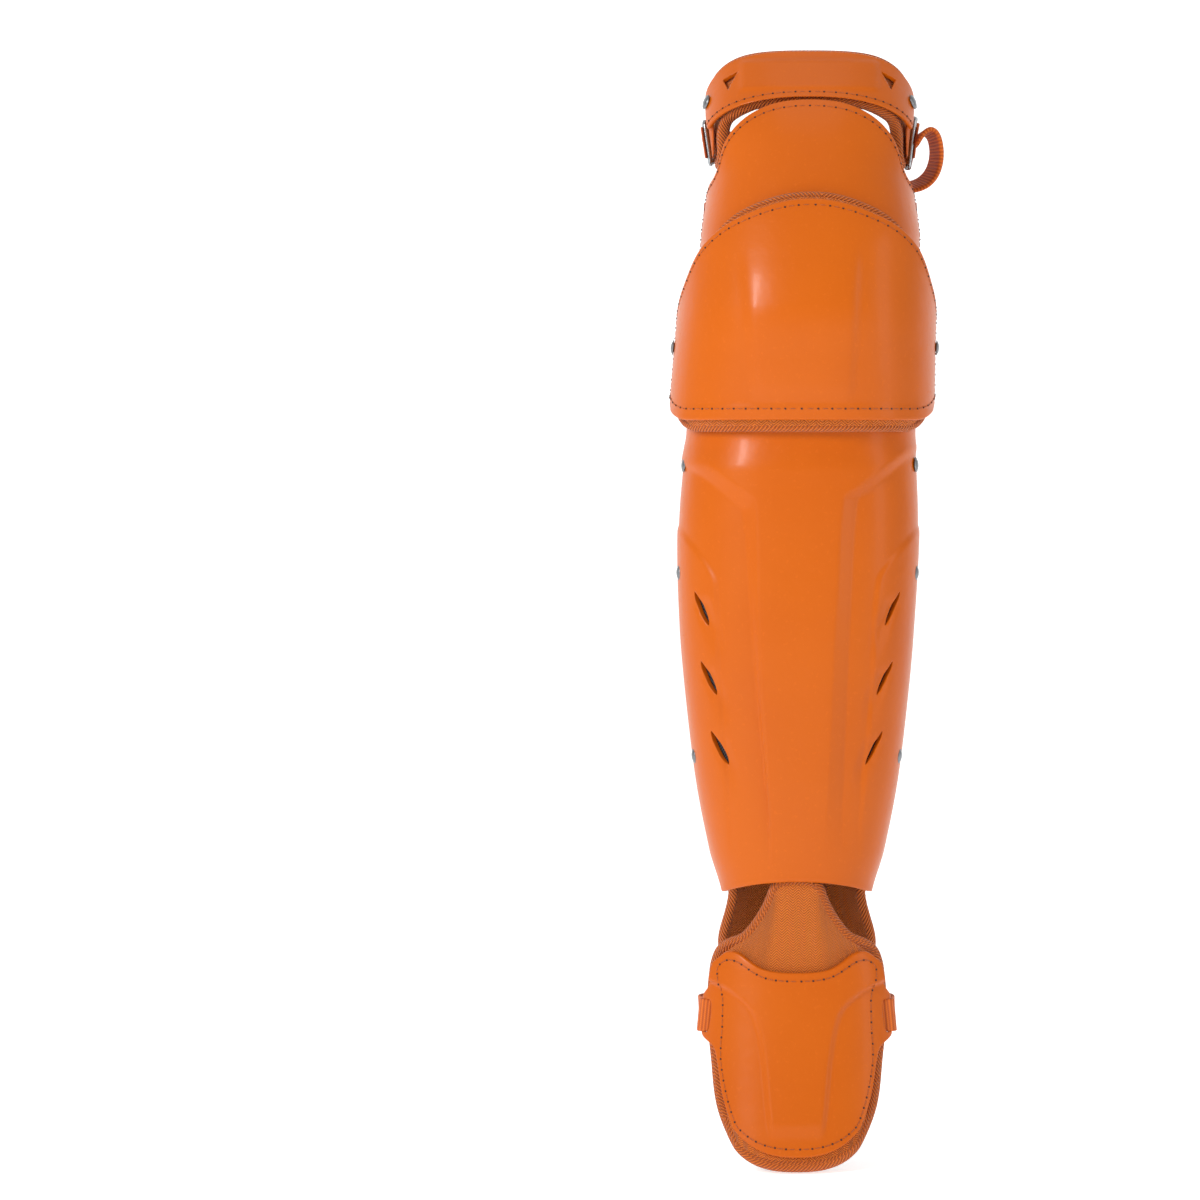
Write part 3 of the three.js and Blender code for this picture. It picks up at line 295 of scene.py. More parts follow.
wing_left = Outline(
    curve((shin(-0.16), -176), (shin(-0.1), -190), (shin(0.02), -187), (shin(0.17), -177),
          (shin(0.32), -164), (shin(0.44), -155), (shin(0.7), -151), (shin(0.89), -140)),
    lambda z: -wing_edge(z),
    lambda u: shin(-0.16) + 6 * (2 * u - 1) ** 2,
    lambda u: LINER_TOP + 0 * u,
)
wing_right = Outline(
    wing_edge,
    curve((shin(-0.16), 150), (shin(-0.1), 157), (shin(0.02), 158), (shin(0.17), 164),
          (shin(0.32), 161), (shin(0.44), 155), (shin(0.7), 151), (shin(0.89), 140)),
    lambda u: shin(-0.16) + 6 * (2 * u - 1) ** 2,
    lambda u: LINER_TOP + 0 * u,
)
foot_seam_side = curve(
    (foot(0.19), 37), (foot(0.34), 45), (foot(0.5), 50), (foot(0.57), 50), (foot(0.63), 49),
    (foot(0.76), 49), (foot(0.83), 52), (foot(0.94), 56),
)
foot_plate = symmetric(
    curve((foot(0.19), 37), (foot(0.34), 45), (foot(0.5), 50), (foot(0.56), 54), (foot(0.61), 67),
          (foot(0.78), 67), (foot(0.83), 60), (foot(0.94), 56)),
    lambda t: foot(0.07) + foot(0.12) * t**2.2,
    level_at_middle((0, foot(0.905)), (0.3, foot(0.92)), (0.62, foot(0.99)), (0.78, foot(1)),
                    (1, foot(0.945))),
)
foot_seam = Outline(
    lambda z: -foot_seam_side(z),
    lambda z: foot_seam_side(z),
    foot_plate.bottom,
    foot_plate.top,
)
foot_pad = symmetric(
    curve((foot(0.11), 37), (foot(0.3), 52), (foot(0.5), 58), (foot(0.75), 66), (foot(1), 64)),
    lambda t: 3.6 + foot(0.085) * t**2.4,
    level_at_middle((0, shin(0.0375)), (0.12, shin(0.034)), (0.22, shin(0.026)),
                    (0.34, shin(-0.02)), (0.55, foot(1.07)), (0.8, foot(1.03)), (1, foot(1))),
)


# ---------------------------------------------------------------- moulded forms of the plates
def ridge(points, half_width, x, z):
    """1 on a polyline, down to 0 at its half width."""
    nearest = np.full(np.broadcast(x, z).shape, np.inf)
    for (ax, az), (bx, bz) in zip(points, points[1:]):
        dx, dz = bx - ax, bz - az
        t = np.clip(((x - ax) * dx + (z - az) * dz) / (dx * dx + dz * dz), 0, 1)
        nearest = np.minimum(nearest, np.hypot(x - ax - dx * t, z - az - dz * t))
    return 1 - smooth(0, half_width, nearest)


def on_shin(*pairs):
    """A line down the shin: shares of the calf's half width from its middle, by share of height."""
    return curve(*[(shin(z), CALF_HALF_WIDTH * x) for x, z in reversed(pairs)])


# The middle of the shin is a raised flat face, which widens at the top. Its left side slopes
# down to a second line, and its right side over the width of a facet
FACE_LEFT = on_shin((-1.5, 0.93), (-1.02, 0.9), (-0.66, 0.835), (-0.395, 0.79), (-0.36, 0.6),
                    (-0.32, 0.39), (-0.25, 0.18))
STEP_LEFT = on_shin((-1.5, 0.88), (-1.04, 0.855), (-0.65, 0.795), (-0.54, 0.775), (-0.44, 0.58),
                    (-0.365, 0.39), (-0.26, 0.18))
FACE_RIGHT = on_shin((1.5, 0.935), (1.06, 0.905), (0.52, 0.815), (0.405, 0.797), (0.36, 0.6),
                     (0.318, 0.39), (0.27, 0.15))
CHEEK_LEFT = on_shin((-1.3, 0.78), (-1.1, 0.73), (-0.77, 0.628), (-0.73, 0.4), (-0.64, 0.15))
CHEEK_RIGHT = on_shin((1.3, 0.78), (1.1, 0.73), (0.76, 0.632), (0.7, 0.4), (0.6, 0.15))
CREASE, FACET, FACE_RELIEF, SCOOP_DEPTH, SCOOP_HALF_WIDTH, WELT = 1.9, 11, 3.9, 1.5, 7.5, 0.5
# Six vents: share of the shin's height, distance from the middle, side
SHIN_SLOTS = [(share, distance, side)
              for side in (-1, 1) for share, distance in ((0.578, 66), (0.439, 61), (0.3, 54))]


def step(x, edge, half_width=CREASE):
    return smooth(-half_width, half_width, x - edge)


def shin_relief(angle, z):
    x = across(z, angle, PLATE_OUT)
    left = np.clip((x - STEP_LEFT(z)) / np.maximum(FACE_LEFT(z) - STEP_LEFT(z), 0.5), 0, 1)
    right = np.clip(1 - (x - FACE_RIGHT(z)) / FACET, 0, 1)
    face = np.minimum(left, right)
    cheeks = np.maximum(step(-x, -CHEEK_LEFT(z)), step(x, CHEEK_RIGHT(z)))
    # It runs out above the ankle, and under the knee pad that laps over the plate
    fade = smooth(shin(0.04), shin(0.24), z) * (1 - smooth(shin(0.85), shin(0.93), z))
    cheeks = cheeks * (1 - smooth(shin(0.72), shin(0.8), z))
    relief = fade * (FACE_RELIEF * face + RELIEF * 0.5 * cheeks)
    # A shallow scoop runs down and inwards from each vent
    for share, distance, side in SHIN_SLOTS:
        top = shin(share)
        scoop = [(side * (distance - inwards), top + rise)
                 for inwards, rise in ((3, 2), (9, -14), (12, -30))]
        depth = SCOOP_DEPTH * smooth(top - 36, top - 8, z)
        relief = relief - depth * ridge(scoop, SCOOP_HALF_WIDTH, x, z)
    return relief


def knee_relief(angle, z):
    x = across(z, angle, CAP_OUT)
    left_side = lerp(-31, -44, (z - knee(0.1)) / (KNEE_HEIGHT * 0.58))
    height = smooth(-5, 5, x - left_side) * smooth(-37, -29, -x)
    low = smooth(knee(0.06), knee(0.16), z)
    panel = RELIEF * 0.6 * height * low * (1 - smooth(knee(0.62), knee(0.86), z))
    # A flat welt runs round the lower rim
    return panel + WELT * (1 - smooth(knee(0.06), knee(0.075), z))


FOOT_FACE = curve((foot(0.1), 17), (foot(0.235), 18.5), (foot(0.7), 28), (foot(0.815), 44),
                  (foot(0.87), 64))


def foot_relief(angle, z):
    x = across(z, angle, PLATE_OUT)
    face = step(-np.abs(x), -FOOT_FACE(z), 2.8) * smooth(foot(0.13), foot(0.24), z)
    return RELIEF * face


def top_relief(angle, z):
    x = across(z, angle, PLATE_OUT)
    level = 1 - smooth(9, 14, np.abs(z - lerp(TOP_BOTTOM, TOP_EDGE, 0.5)))
    return RELIEF * 0.6 * (1 - smooth(44, 51, np.abs(x))) * level


# ---------------------------------------------------------------- nodes
def linear(hex_colour):
    """A colour written as RRGGBB, in linear light."""
    parts = [int(hex_colour[i:i + 2], 16) / 255 for i in (0, 2, 4)]
    return (*[c / 12.92 if c <= 0.04045 else ((c + 0.055) / 1.055) ** 2.4 for c in parts], 1)


def feed(socket, value):
    """Links a node's input to an output, or gives it a constant."""
    if isinstance(value, Field):
        value = value.socket
    if isinstance(value, bpy.types.NodeSocket):
        socket.id_data.links.new(value, socket)
    else:
        socket.default_value = value


def node(tree, kind, inputs=(), **settings):
    made = tree.nodes.new(kind)
    for key, value in settings.items():
        setattr(made, key, value)
    for key, value in dict(inputs).items():
        feed(made.inputs[key], value)
    return made


class Field:
    """A node's output. Sums on it make maths nodes."""

    def __init__(self, socket):
        self.socket = socket

    def maths(self, operation, other=0.0):
        return field(self.socket.id_data, "ShaderNodeMath", {0: self, 1: other},
                     operation=operation)

    def __add__(self, other):
        return self.maths("ADD", other)

    def __sub__(self, other):
        return self.maths("SUBTRACT", other)

    def __mul__(self, other):
        return self.maths("MULTIPLY", other)

    def __truediv__(self, other):
        return self.maths("DIVIDE", other)

    def wave(self):
        """A sine between 0 and 1."""
        return self.maths("SINE") * 0.5 + 0.5


def fields(tree, kind, inputs=(), **settings):
    """All outputs of a new node."""
    return [Field(socket) for socket in node(tree, kind, inputs, **settings).outputs]


def field(tree, kind, inputs=(), **settings):
    return fields(tree, kind, inputs, **settings)[0]


def in_object(tree):
    return node(tree, "ShaderNodeTexCoord").outputs["Object"]


def noise(tree, scale, detail=2.0):
    inputs = {"Vector": in_object(tree), "Scale": scale, "Detail": detail}
    return field(tree, "ShaderNodeTexNoise", inputs)


def mixed(tree, factor, a, b):
    """A mix of two colours, each a RRGGBB text or a node's output."""
    a, b = (linear(colour) if isinstance(colour, str) else colour for colour in (a, b))
    return fields(tree, "ShaderNodeMix", {0: factor, 6: a, 7: b}, data_type="RGBA")[2]


def ramp(tree, value, start, end, low, high, kind="LINEAR"):
    inputs = {0: value, 1: start, 2: end, 3: low, 4: high}
    return field(tree, "ShaderNodeMapRange", inputs, interpolation_type=kind)


def shader_group(name, inputs, outputs, recipe):
    """A node group. recipe turns its inputs into what feeds its outputs."""
    group = bpy.data.node_groups.new(name, "ShaderNodeTree")
    for label, value in inputs.items():
        kind = "NodeSocketVector" if isinstance(value, tuple) else "NodeSocketFloat"
        socket = group.interface.new_socket(label, in_out="INPUT", socket_type=kind)
        socket.default_value = value
    for label in outputs:
        group.interface.new_socket(label, in_out="OUTPUT", socket_type="NodeSocketFloat")
    results = recipe(group, *fields(group, "NodeGroupInput")[:len(inputs)])
    for socket, value in zip(group.nodes.new("NodeGroupOutput").inputs, results):
        feed(socket, value)
    return group


def twill(group, place, pitch, chevron):
    """Slanted yarn ridges that change side along the tape, as herringbone tape does."""
    x, y, _ = fields(group, "ShaderNodeSeparateXYZ", {0: place})
    slanted = x.maths("PINGPONG", chevron) + y
    grain = field(group, "ShaderNodeTexNoise", {"Vector": place, "Scale": 900.0, "Detail": 3.0})
    return (slanted / pitch * math.tau).wave(), grain


def spacer(group, place, pitch):
    """Knitted spacer mesh: rows of small holes set like bricks, between fine slanted threads."""
    x, y, _ = fields(group, "ShaderNodeSeparateXYZ", {0: place})
    x, y = x / pitch, y / pitch
    odd_row = y.maths("FLOOR").maths("MODULO", 2.0) * 0.5
    cell_x = (x + odd_row).maths("FRACT") - 0.5
    cell_y = y.maths("FRACT") - 0.5
    away = (cell_x * cell_x + cell_y * cell_y).maths("SQRT")
    holes = ramp(group, away, 0.16, 0.3, 1.0, 0.0, "SMOOTHSTEP")
    per_cell = math.tau * 2.5
    return holes, ((x + y) * per_cell).wave() * ((x - y) * per_cell).wave()


def faint_use(group, scale, specks):
    """Faint wide colour change and fine rubbed specks, for things that have been worn."""
    return noise(group, scale, 4.0), ramp(group, noise(group, specks), 0.62, 0.72, 0.0, 1.0)


TWILL = shader_group("twill_tape", {"Vector": (0, 0, 0), "Pitch": 0.0016, "Chevron": 0.008},
                     ["Ridge", "Grain"], twill)
SPACER = shader_group("spacer_mesh", {"Vector": (0, 0, 0), "Pitch": 0.0042},
                      ["Holes", "Threads"], spacer)
SCUFFS = shader_group("faint_use", {"Scale": 12.0, "Specks": 260.0},
                      ["Cloud", "Specks"], faint_use)


# ---------------------------------------------------------------- materials
class Finish:
    """A material in the making."""

    def __init__(self, name, roughness, **constants):
        self.material = bpy.data.materials.new(name)
        self.material.use_nodes = True
        self.tree = self.material.node_tree
        self.set(Roughness=roughness, **constants)

    def set(self, **inputs):
        for key, value in inputs.items():
            feed(self.tree.nodes["Principled BSDF"].inputs[key.replace("_", " ")], value)

    def use(self, group, **inputs):
        return fields(self.tree, "ShaderNodeGroup", inputs, node_tree=group)

    def mixed(self, factor, a, b):
        return mixed(self.tree, factor, a, b)

    def bumped(self, height, distance, strength=1.0):
        """Sets the bump, and hands over the finished material."""
        inputs = {"Height": height, "Distance": distance, "Strength": strength}
        self.set(Normal=field(self.tree, "ShaderNodeBump", inputs))
        return self.material


def moulded_plastic():
    made = Finish("moulded_orange_shell", 0.34, Coat_Weight=0.08, Coat_Roughness=0.14,
                  Specular_IOR_Level=0.2)
    cloud, specks = made.use(SCUFFS, Scale=9.0, Specks=420.0)
    shade = made.mixed(cloud, "C05603", "CD6203")
    made.set(Base_Color=made.mixed(specks * 0.18, shade, "E07018"),
             Roughness=specks * 0.15 + (cloud * 0.12 + 0.28))
    return made.bumped(noise(made.tree, 95.0), 0.0006, 0.35)


def fabric(name, dark, light, pitch, chevron, depth, fullness):
    made = Finish(name, 0.85, Sheen_Weight=0.12, Sheen_Roughness=0.4)
    uv = field(made.tree, "ShaderNodeUVMap")
    ridge, grain = made.use(TWILL, Vector=uv, Pitch=pitch, Chevron=chevron)
    cloud, _ = made.use(SCUFFS, Scale=22.0)
    tone = ridge.maths("POWER", fullness) * 0.8 + grain * 0.25
    made.set(Base_Color=made.mixed(cloud * 0.25, made.mixed(tone, dark, light), dark))
    return made.bumped(grain * 0.3 + ridge, depth)


def ribbed_elastic(rib_pitch=0.0024, yarn_pitch=0.0014):
    made = Finish("ribbed_orange_elastic", 0.78, Sheen_Weight=0.1, Sheen_Roughness=0.45)
    uv = field(made.tree, "ShaderNodeUVMap")
    x, y, _ = fields(made.tree, "ShaderNodeSeparateXYZ", {0: uv})
    ribs = (x * (math.tau / rib_pitch)).maths("SINE")
    yarns = (y * (math.tau / yarn_pitch)).maths("SINE")
    woven = ribs * yarns * 0.12 + (ribs * 0.36 + 0.5)
    cloud, _ = made.use(SCUFFS, Scale=30.0)
    made.set(Base_Color=made.mixed(cloud * 0.3, made.mixed(woven, "A44206", "E87414"), "B54F10"))
    return made.bumped(woven, 0.00035)


def mesh_cloth(name, dark, light, hole_shade):
    made = Finish(name, 0.7, Sheen_Weight=0.15, Sheen_Roughness=0.5)
    holes, threads = made.use(SPACER, Vector=field(made.tree, "ShaderNodeUVMap"))
    # The hole colour is painted shade, dark as the depth of each hole
    made.set(Base_Color=made.mixed(holes, made.mixed(threads, dark, light), hole_shade))
    return made.bumped(holes * -1.2 + threads, 0.0005)


def metal(name, dark, light, roughness):
    made = Finish(name, roughness, Metallic=1.0)
    cloud, specks = made.use(SCUFFS, Scale=60.0, Specks=900.0)
    made.set(Base_Color=made.mixed(cloud, dark, light),
             Roughness=specks * 0.2 + (cloud * 0.14 + (roughness - 0.06)))
    return made.bumped(noise(made.tree, 700.0), 0.0001, 0.4)


def thread(name, dark, light):
    made = Finish(name, 0.7, Sheen_Weight=0.1)
    _, twist = fields(made.tree, "ShaderNodeTexWave",
                      {"Vector": in_object(made.tree), "Scale": 700.0},
                      bands_direction="DIAGONAL")
    made.set(Base_Color=made.mixed(twist, dark, light))
    return made.bumped(twist, 0.0002)


SHELL_PLASTIC = moulded_plastic()
TAPE = fabric("orange_binding_tape", "823004", "F27A16", 0.0026, 0.5, 0.0012, 0.5)
CLOTH = fabric("orange_twill_cloth", "9C4206", "F88420", 0.0018, 0.0036, 0.0007, 0.6)
LINER = fabric("black_herringbone_liner", "060607", "4C4C52", 0.0026, 0.011, 0.0006, 1.2)
ELASTIC = ribbed_elastic()
# Each mesh's last colour is painted shade in its holes
MESH = mesh_cloth("black_spacer_mesh", "0A0A0C", "6A6A72", "030303")
ORANGE_MESH = mesh_cloth("orange_spacer_mesh", "B04A08", "F08228", "3A1604")
STEEL = metal("bright_steel", "7E8286", "D2D4D6", 0.2)
RIVET_STEEL = metal("dull_rivet_steel", "54575B", "A2A5A8", 0.32)
HOOK_STEEL = metal("stamped_hook_plate", "9DA0A4", "CFD1D3", 0.34)
DARK_STEEL = metal("dark_stud", "1C1D20", "44464A", 0.38)
THREAD = thread("orange_thread", "8A3A06", "CE6820")
# Small dark marks between the plate stitches: painted shade in their holes
STITCH_HOLE_SHADE = thread("stitch_hole_painted_shade", "2A1004", "5A2406")


# ---------------------------------------------------------------- mesh making
def linked(name, data):
    obj = bpy.data.objects.new(name, data)
    bpy.context.scene.collection.objects.link(obj)
    return obj


def shade(mesh, is_smooth):
    mesh.polygons.foreach_set("use_smooth", [is_smooth] * len(mesh.polygons))


def add_mesh(name, points, faces, materials, corner_uvs=None, face_materials=None):
    mesh = bpy.data.meshes.new(name)
    mesh.from_pydata(np.asarray(points).tolist(), [], faces)
    shade(mesh, True)
    for one in materials:
        mesh.materials.append(one)
    if face_materials is not None:
        mesh.polygons.foreach_set("material_index", face_materials.tolist())
    if corner_uvs is not None:
        mesh.uv_layers.new(name="UVMap").data.foreach_set("uv", np.ravel(corner_uvs))
    mesh.update()
    return linked(name, mesh)


def outward(obj):
    """Turns a closed mesh so that its faces point out."""
    work = bmesh.new()
    work.from_mesh(obj.data)
    bmesh.ops.recalc_face_normals(work, faces=work.faces)
    if work.calc_volume(signed=True) < 0:
        bmesh.ops.reverse_faces(work, faces=work.faces)
    work.to_mesh(obj.data)
    work.free()
    return obj


def settle(obj):
    """Applies an object's modifiers, so that a plain mesh is left."""
    graph = bpy.context.evaluated_depsgraph_get()
    mesh = bpy.data.meshes.new_from_object(obj.evaluated_get(graph))
    obj.modifiers.clear()
    old, obj.data = obj.data, mesh
    bpy.data.meshes.remove(old)


def finished(obj, slot, *nodes):
    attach(obj, "root")
    if nodes:
        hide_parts(*nodes)


def stations(count, length, rim):
    """Places from 0 to 1 over a length, closer together over the rounded rim at both ends."""
    near = rim * (1 - np.cos(np.radians([0, 25, 50, 70, 90]))) / length
    middle = np.linspace(near[-1], 1 - near[-1], count)[1:-1]
    return np.concatenate([near, middle, (1 - near)[::-1]])


def rounded_corners(u, v, amount):
    """Pulls the corners of a unit square in, so that a panel's corners are round."""
    a, b = 2 * u - 1, 2 * v - 1
    pull = amount * (np.abs(a) * np.abs(b)) ** 7
    return (a * (1 - pull) + 1) / 2, (b * (1 - pull) + 1) / 2


def cells(index):
    """The four corners of each cell of a grid."""
    return np.stack([index[:-1, :-1], index[:-1, 1:], index[1:, 1:], index[1:, :-1]], -1)


def panel(name, outline, inner, outer, size, counts, rim, materials, corner, skin=None):
    """A closed panel on the leg form, with a rounded rim. size is its rough width and height.

    inner and outer give its faces' distances from the form at an angle and height, and may use
    the distance from the rim. skin picks a material for each face: it gets side (0 outer,
    1 inner), angle and z.
    """
    us, vs = (stations(count, length, rim) for count, length in zip(counts, size))
    u, v = np.meshgrid(us, vs)
    angle, z = outline(*rounded_corners(u, v, corner))
    base = wall(z, angle, 0)
    across_steps, up_steps = (np.linalg.norm(np.diff(base, axis=k), axis=2) for k in (1, 0))
    along = np.pad(np.cumsum(across_steps, 1), ((0, 0), (1, 0)))
    upward = np.pad(np.cumsum(up_steps, 0), ((1, 0), (0, 0)))
    sides = along, along[:, -1:] - along, upward, upward[-1:] - upward
    inward = np.minimum.reduce(sides)
    reach = np.minimum(inward / rim, 1)
    drop = rim * (1 - np.sqrt(np.maximum(1 - (1 - reach) ** 2, 0)))
    middle = along.shape[1] // 2
    uv = np.stack([along - along[:, middle:middle + 1], upward + z[0, middle]], -1) / 1000
    grids = [wall(z, angle, offset(angle, z, inward) + sign * drop)
             for offset, sign in ((outer, -1), (inner, 1))]
    total = u.size
    index = np.arange(total).reshape(u.shape)
    quads = cells(index).reshape(-1, 4)
    loop = np.concatenate([index[0, :-1], index[:-1, -1], index[-1, :0:-1], index[:0:-1, 0]])
    after = np.roll(loop, -1)
    edge = np.stack([loop + total, after + total, after, loop], -1)
    faces = np.concatenate([quads, quads[:, ::-1] + total, edge])
    picks = np.zeros(len(faces), int)
    if skin:
        place = [(grid[:-1, :-1] + grid[1:, 1:]).ravel() / 2 for grid in (angle, z)]
        picks[:2 * len(quads)] = np.concatenate([skin(side, *place) for side in (0, 1)])
    points = metres(np.concatenate([grid.reshape(-1, 3) for grid in grids]))
    corner_uvs = uv.reshape(-1, 2)[faces.ravel() % total]
    return outward(add_mesh(name, points, faces.tolist(), materials, corner_uvs, picks))


def flat(value):
    return lambda angle, z, inward: value + 0 * angle


def runs_along(points, closed):
    if closed:
        return np.roll(points, -1, 0) - np.roll(points, 1, 0)
    return np.gradient(points, axis=0)


def follow(name, path, wide, profile, closed, materials):
    """A swept piece: profile points (across, out) go along a path. wide is across it there."""
    wide = unit(wide)
    thick = unit(np.cross(unit(runs_along(path, closed)), wide))
    profile = np.broadcast_to(profile, (len(path), *profile.shape[-2:]))
    points = path[:, None] + profile[..., :1] * wide[:, None] + profile[..., 1:] * thick[:, None]
    count, sides = points.shape[:2]
    length, around = (distances(np.concatenate([ring, ring[:1]])) for ring in (path, profile[0]))
    rings = count + 1 if closed else count
    ids = (np.arange(rings) % count)[:, None] * sides + np.arange(sides + 1) % sides
    uvs = np.stack(np.broadcast_arrays(length[:rings, None], around), -1) / 1000
    # Each cell's corners go along the path first
    faces = cells(ids)[..., [0, 3, 2, 1]].reshape(-1, 4).tolist()
    places = cells(np.arange(ids.size).reshape(ids.shape))[..., [0, 3, 2, 1]]
    corner_uvs = uvs.reshape(-1, 2)[places.ravel()]
    if not closed:
        faces += [ids[0, :sides].tolist(), ids[-1, sides - 1::-1].tolist()]
        corner_uvs = np.concatenate([corner_uvs, uvs[0, :sides], uvs[-1, sides - 1::-1]])
    return outward(add_mesh(name, metres(points.reshape(-1, 3)), faces, materials, corner_uvs))


def oval(half_across, half_out, sides, power=1.0, power_out=None):
    """An oval's points. A power below 1 makes it squarer, and one above 1 more pointed."""
    turn = np.arange(sides) * math.tau / sides
    rows = ((half_across, np.cos(turn), power),
            (half_out, np.sin(turn), power if power_out is None else power_out))
    return np.stack([half * np.sign(c) * np.abs(c) ** p for half, c, p in rows], -1)


def distances(points):
    """How far along a path each of its points is."""
    steps = np.linalg.norm(np.diff(points, axis=0), axis=-1)
    return np.concatenate([[0], np.cumsum(steps)])


def resample(points, spacing, closed):
    """Points at even spacing along a path, in millimetres."""
    ring = np.concatenate([points, points[:1]]) if closed else points
    length = distances(ring)
    count = max(int(round(length[-1] / spacing)), 3)
    places = np.linspace(0, length[-1], count + 1)[: count if closed else count + 1]
    return np.stack([np.interp(places, length, ring[:, k]) for k in range(ring.shape[1])], -1)


def eased(points, first_spacing, times, closed):
    """Rounds the corners of a path by averaging each point with its neighbours."""
    points = resample(np.asarray(points, float), first_spacing, closed)
    for _ in range(times):
        if closed:
            points = (np.roll(points, 1, 0) + 2 * points + np.roll(points, -1, 0)) / 4
        else:
            points[1:-1] = (points[:-2] + 2 * points[1:-1] + points[2:]) / 4
    return points


# Millimetres for each degree round the leg, to treat an angle and a height alike
DEGREE, WING_DEGREE = 1.25, 1.2
MEAN_RADIUS = 75


def edge_places(outline, spacing, ease, inset, corner, closed=True, sides="bottom right top left"):
    """Angles and heights along a panel's edge, inset by some millimetres."""
    count = 60
    t = (np.arange(count) + 0.5) / count
    walks = {"bottom": (t, 0 * t), "right": (0 * t + 1, t),
             "top": (1 - t, 0 * t + 1), "left": (0 * t, 1 - t)}
    u, v = (np.concatenate([walks[side][k] for side in sides.split()]) for k in (0, 1))
    u, v = rounded_corners(u, v, corner)
    if inset:
        left, right = outline(0 * v, v)[0], outline(0 * v + 1, v)[0]
        low, high = outline(u, 0 * u)[1], outline(u, 0 * u + 1)[1]
        width = np.radians(right - left) * MEAN_RADIUS
        u = lerp(inset / width, 1 - inset / width, u)
        v = lerp(inset / (high - low), 1 - inset / (high - low), v)
    angle, z = outline(u, v)
    places = resample(eased(np.stack([angle * DEGREE, z], -1), 1.0, ease, closed), spacing, closed)
    return places[:, 0] / DEGREE, places[:, 1]


# ---------------------------------------------------------------- repeats
def repeats_tree(name, labels, shape):
    """Sets one small shape at each point of a mesh, along its run and facing its out direction."""
    tree = bpy.data.node_groups.new(name, "GeometryNodeTree")
    sockets = [("Geometry", "INPUT", "NodeSocketGeometry")]
    sockets += [(label, "INPUT", "NodeSocketFloat") for label in labels]
    sockets += [("Material", "INPUT", "NodeSocketMaterial"),
                ("Geometry", "OUTPUT", "NodeSocketGeometry")]
    for label, in_out, kind in sockets:
        tree.interface.new_socket(label, in_out=in_out, socket_type=kind)
    points, *sizes, paint = fields(tree, "NodeGroupInput")[:len(labels) + 2]
    run, facing = (
        field(tree, "GeometryNodeInputNamedAttribute", {0: label}, data_type="FLOAT_VECTOR")
        for label in ("run", "out")
    )
    align = "FunctionNodeAlignRotationToVector"
    first = field(tree, align, {"Vector": run}, axis="X")
    turned = field(tree, align, {"Rotation": first, "Vector": facing}, axis="Z", pivot_axis="X")
    placed = field(tree, "GeometryNodeInstanceOnPoints",
                   {"Points": points, "Instance": shape(tree, *sizes), "Rotation": turned})
    real = field(tree, "GeometryNodeRealizeInstances", {0: placed})
    painted = field(tree, "GeometryNodeSetMaterial", {"Geometry": real, "Material": paint})
    feed(tree.nodes.new("NodeGroupOutput").inputs[0], painted)
    return tree


def stitch(tree, length, radius):
    ball = field(tree, "GeometryNodeMeshUVSphere", {"Segments": 6, "Rings": 5, "Radius": 1.0})
    size = field(tree, "ShaderNodeCombineXYZ", {0: length * 0.5, 1: radius, 2: radius})
    return field(tree, "GeometryNodeTransform", {"Geometry": ball, "Scale": size})


def rivet_head(tree, radius, height):
    """A low dome on a thin flange."""
    def raised(share):
        return field(tree, "ShaderNodeCombineXYZ", {2: height * share})

    flange = field(tree, "GeometryNodeMeshCylinder",
                   {"Vertices": 28, "Radius": radius, "Depth": height * 0.36})
    ball = field(tree, "GeometryNodeMeshUVSphere", {"Segments": 28, "Rings": 14, "Radius": 1.0})
    dome_radius = radius * 0.82
    size = field(tree, "ShaderNodeCombineXYZ", {0: dome_radius, 1: dome_radius, 2: height * 0.62})
    join = node(tree, "GeometryNodeJoinGeometry")
    for inputs in ({"Geometry": flange, "Translation": raised(0.28)},
                   {"Geometry": ball, "Scale": size, "Translation": raised(0.36)}):
        feed(join.inputs[0], field(tree, "GeometryNodeTransform", inputs))
    return field(tree, "GeometryNodeSetShadeSmooth", {"Geometry": join.outputs[0]})


STITCHES = repeats_tree("sewn_stitches", ["Length", "Radius"], stitch)
RIVET_HEADS = repeats_tree("pressed_rivets", ["Radius", "Height"], rivet_head)


def repeat_on(name, points, runs, outs, tree, paint, **sizes):
    """Small shapes set on points, as one plain mesh. Points and sizes are in millimetres."""
    mesh = bpy.data.meshes.new(name)
    mesh.from_pydata(metres(points).tolist(), [], [])
    for label, values in (("run", runs), ("out", outs)):
        attribute = mesh.attributes.new(label, "FLOAT_VECTOR", "POINT")
        attribute.data.foreach_set("vector", np.ravel(values))
    obj = linked(name, mesh)
    modifier = obj.modifiers.new(tree.name, "NODES")
    modifier.node_group = tree
    keys = {item.name: item.identifier for item in tree.interface.items_tree}
    for label, value in sizes.items():
        modifier[keys[label]] = value / 1000
    modifier[keys["Material"]] = paint
    obj.update_tag()
    bpy.context.view_layer.update()
    settle(obj)
    shade(obj.data, True)
    return obj


def seam(name, lines, paint=THREAD, length=STITCH_LENGTH, radius=STITCH_RADIUS):
    """Rows of stitches. Each line has angles, heights, distances and whether it closes."""
    rows = []
    for angle, z, offset, closed in lines:
        points = wall(z, angle, offset)
        rows.append((points, runs_along(points, closed), outwards(z, angle, offset)))
    points, runs, outs = (np.concatenate(parts) for parts in zip(*rows))
    obj = repeat_on(name, points, runs, outs, STITCHES, paint, Length=length, Radius=radius)
    finished(obj, "binding")


# ---------------------------------------------------------------- hard plates
CUT_DEPTH, SHELL_RIM, PAD_RIM = 15, 1.1, 2.0


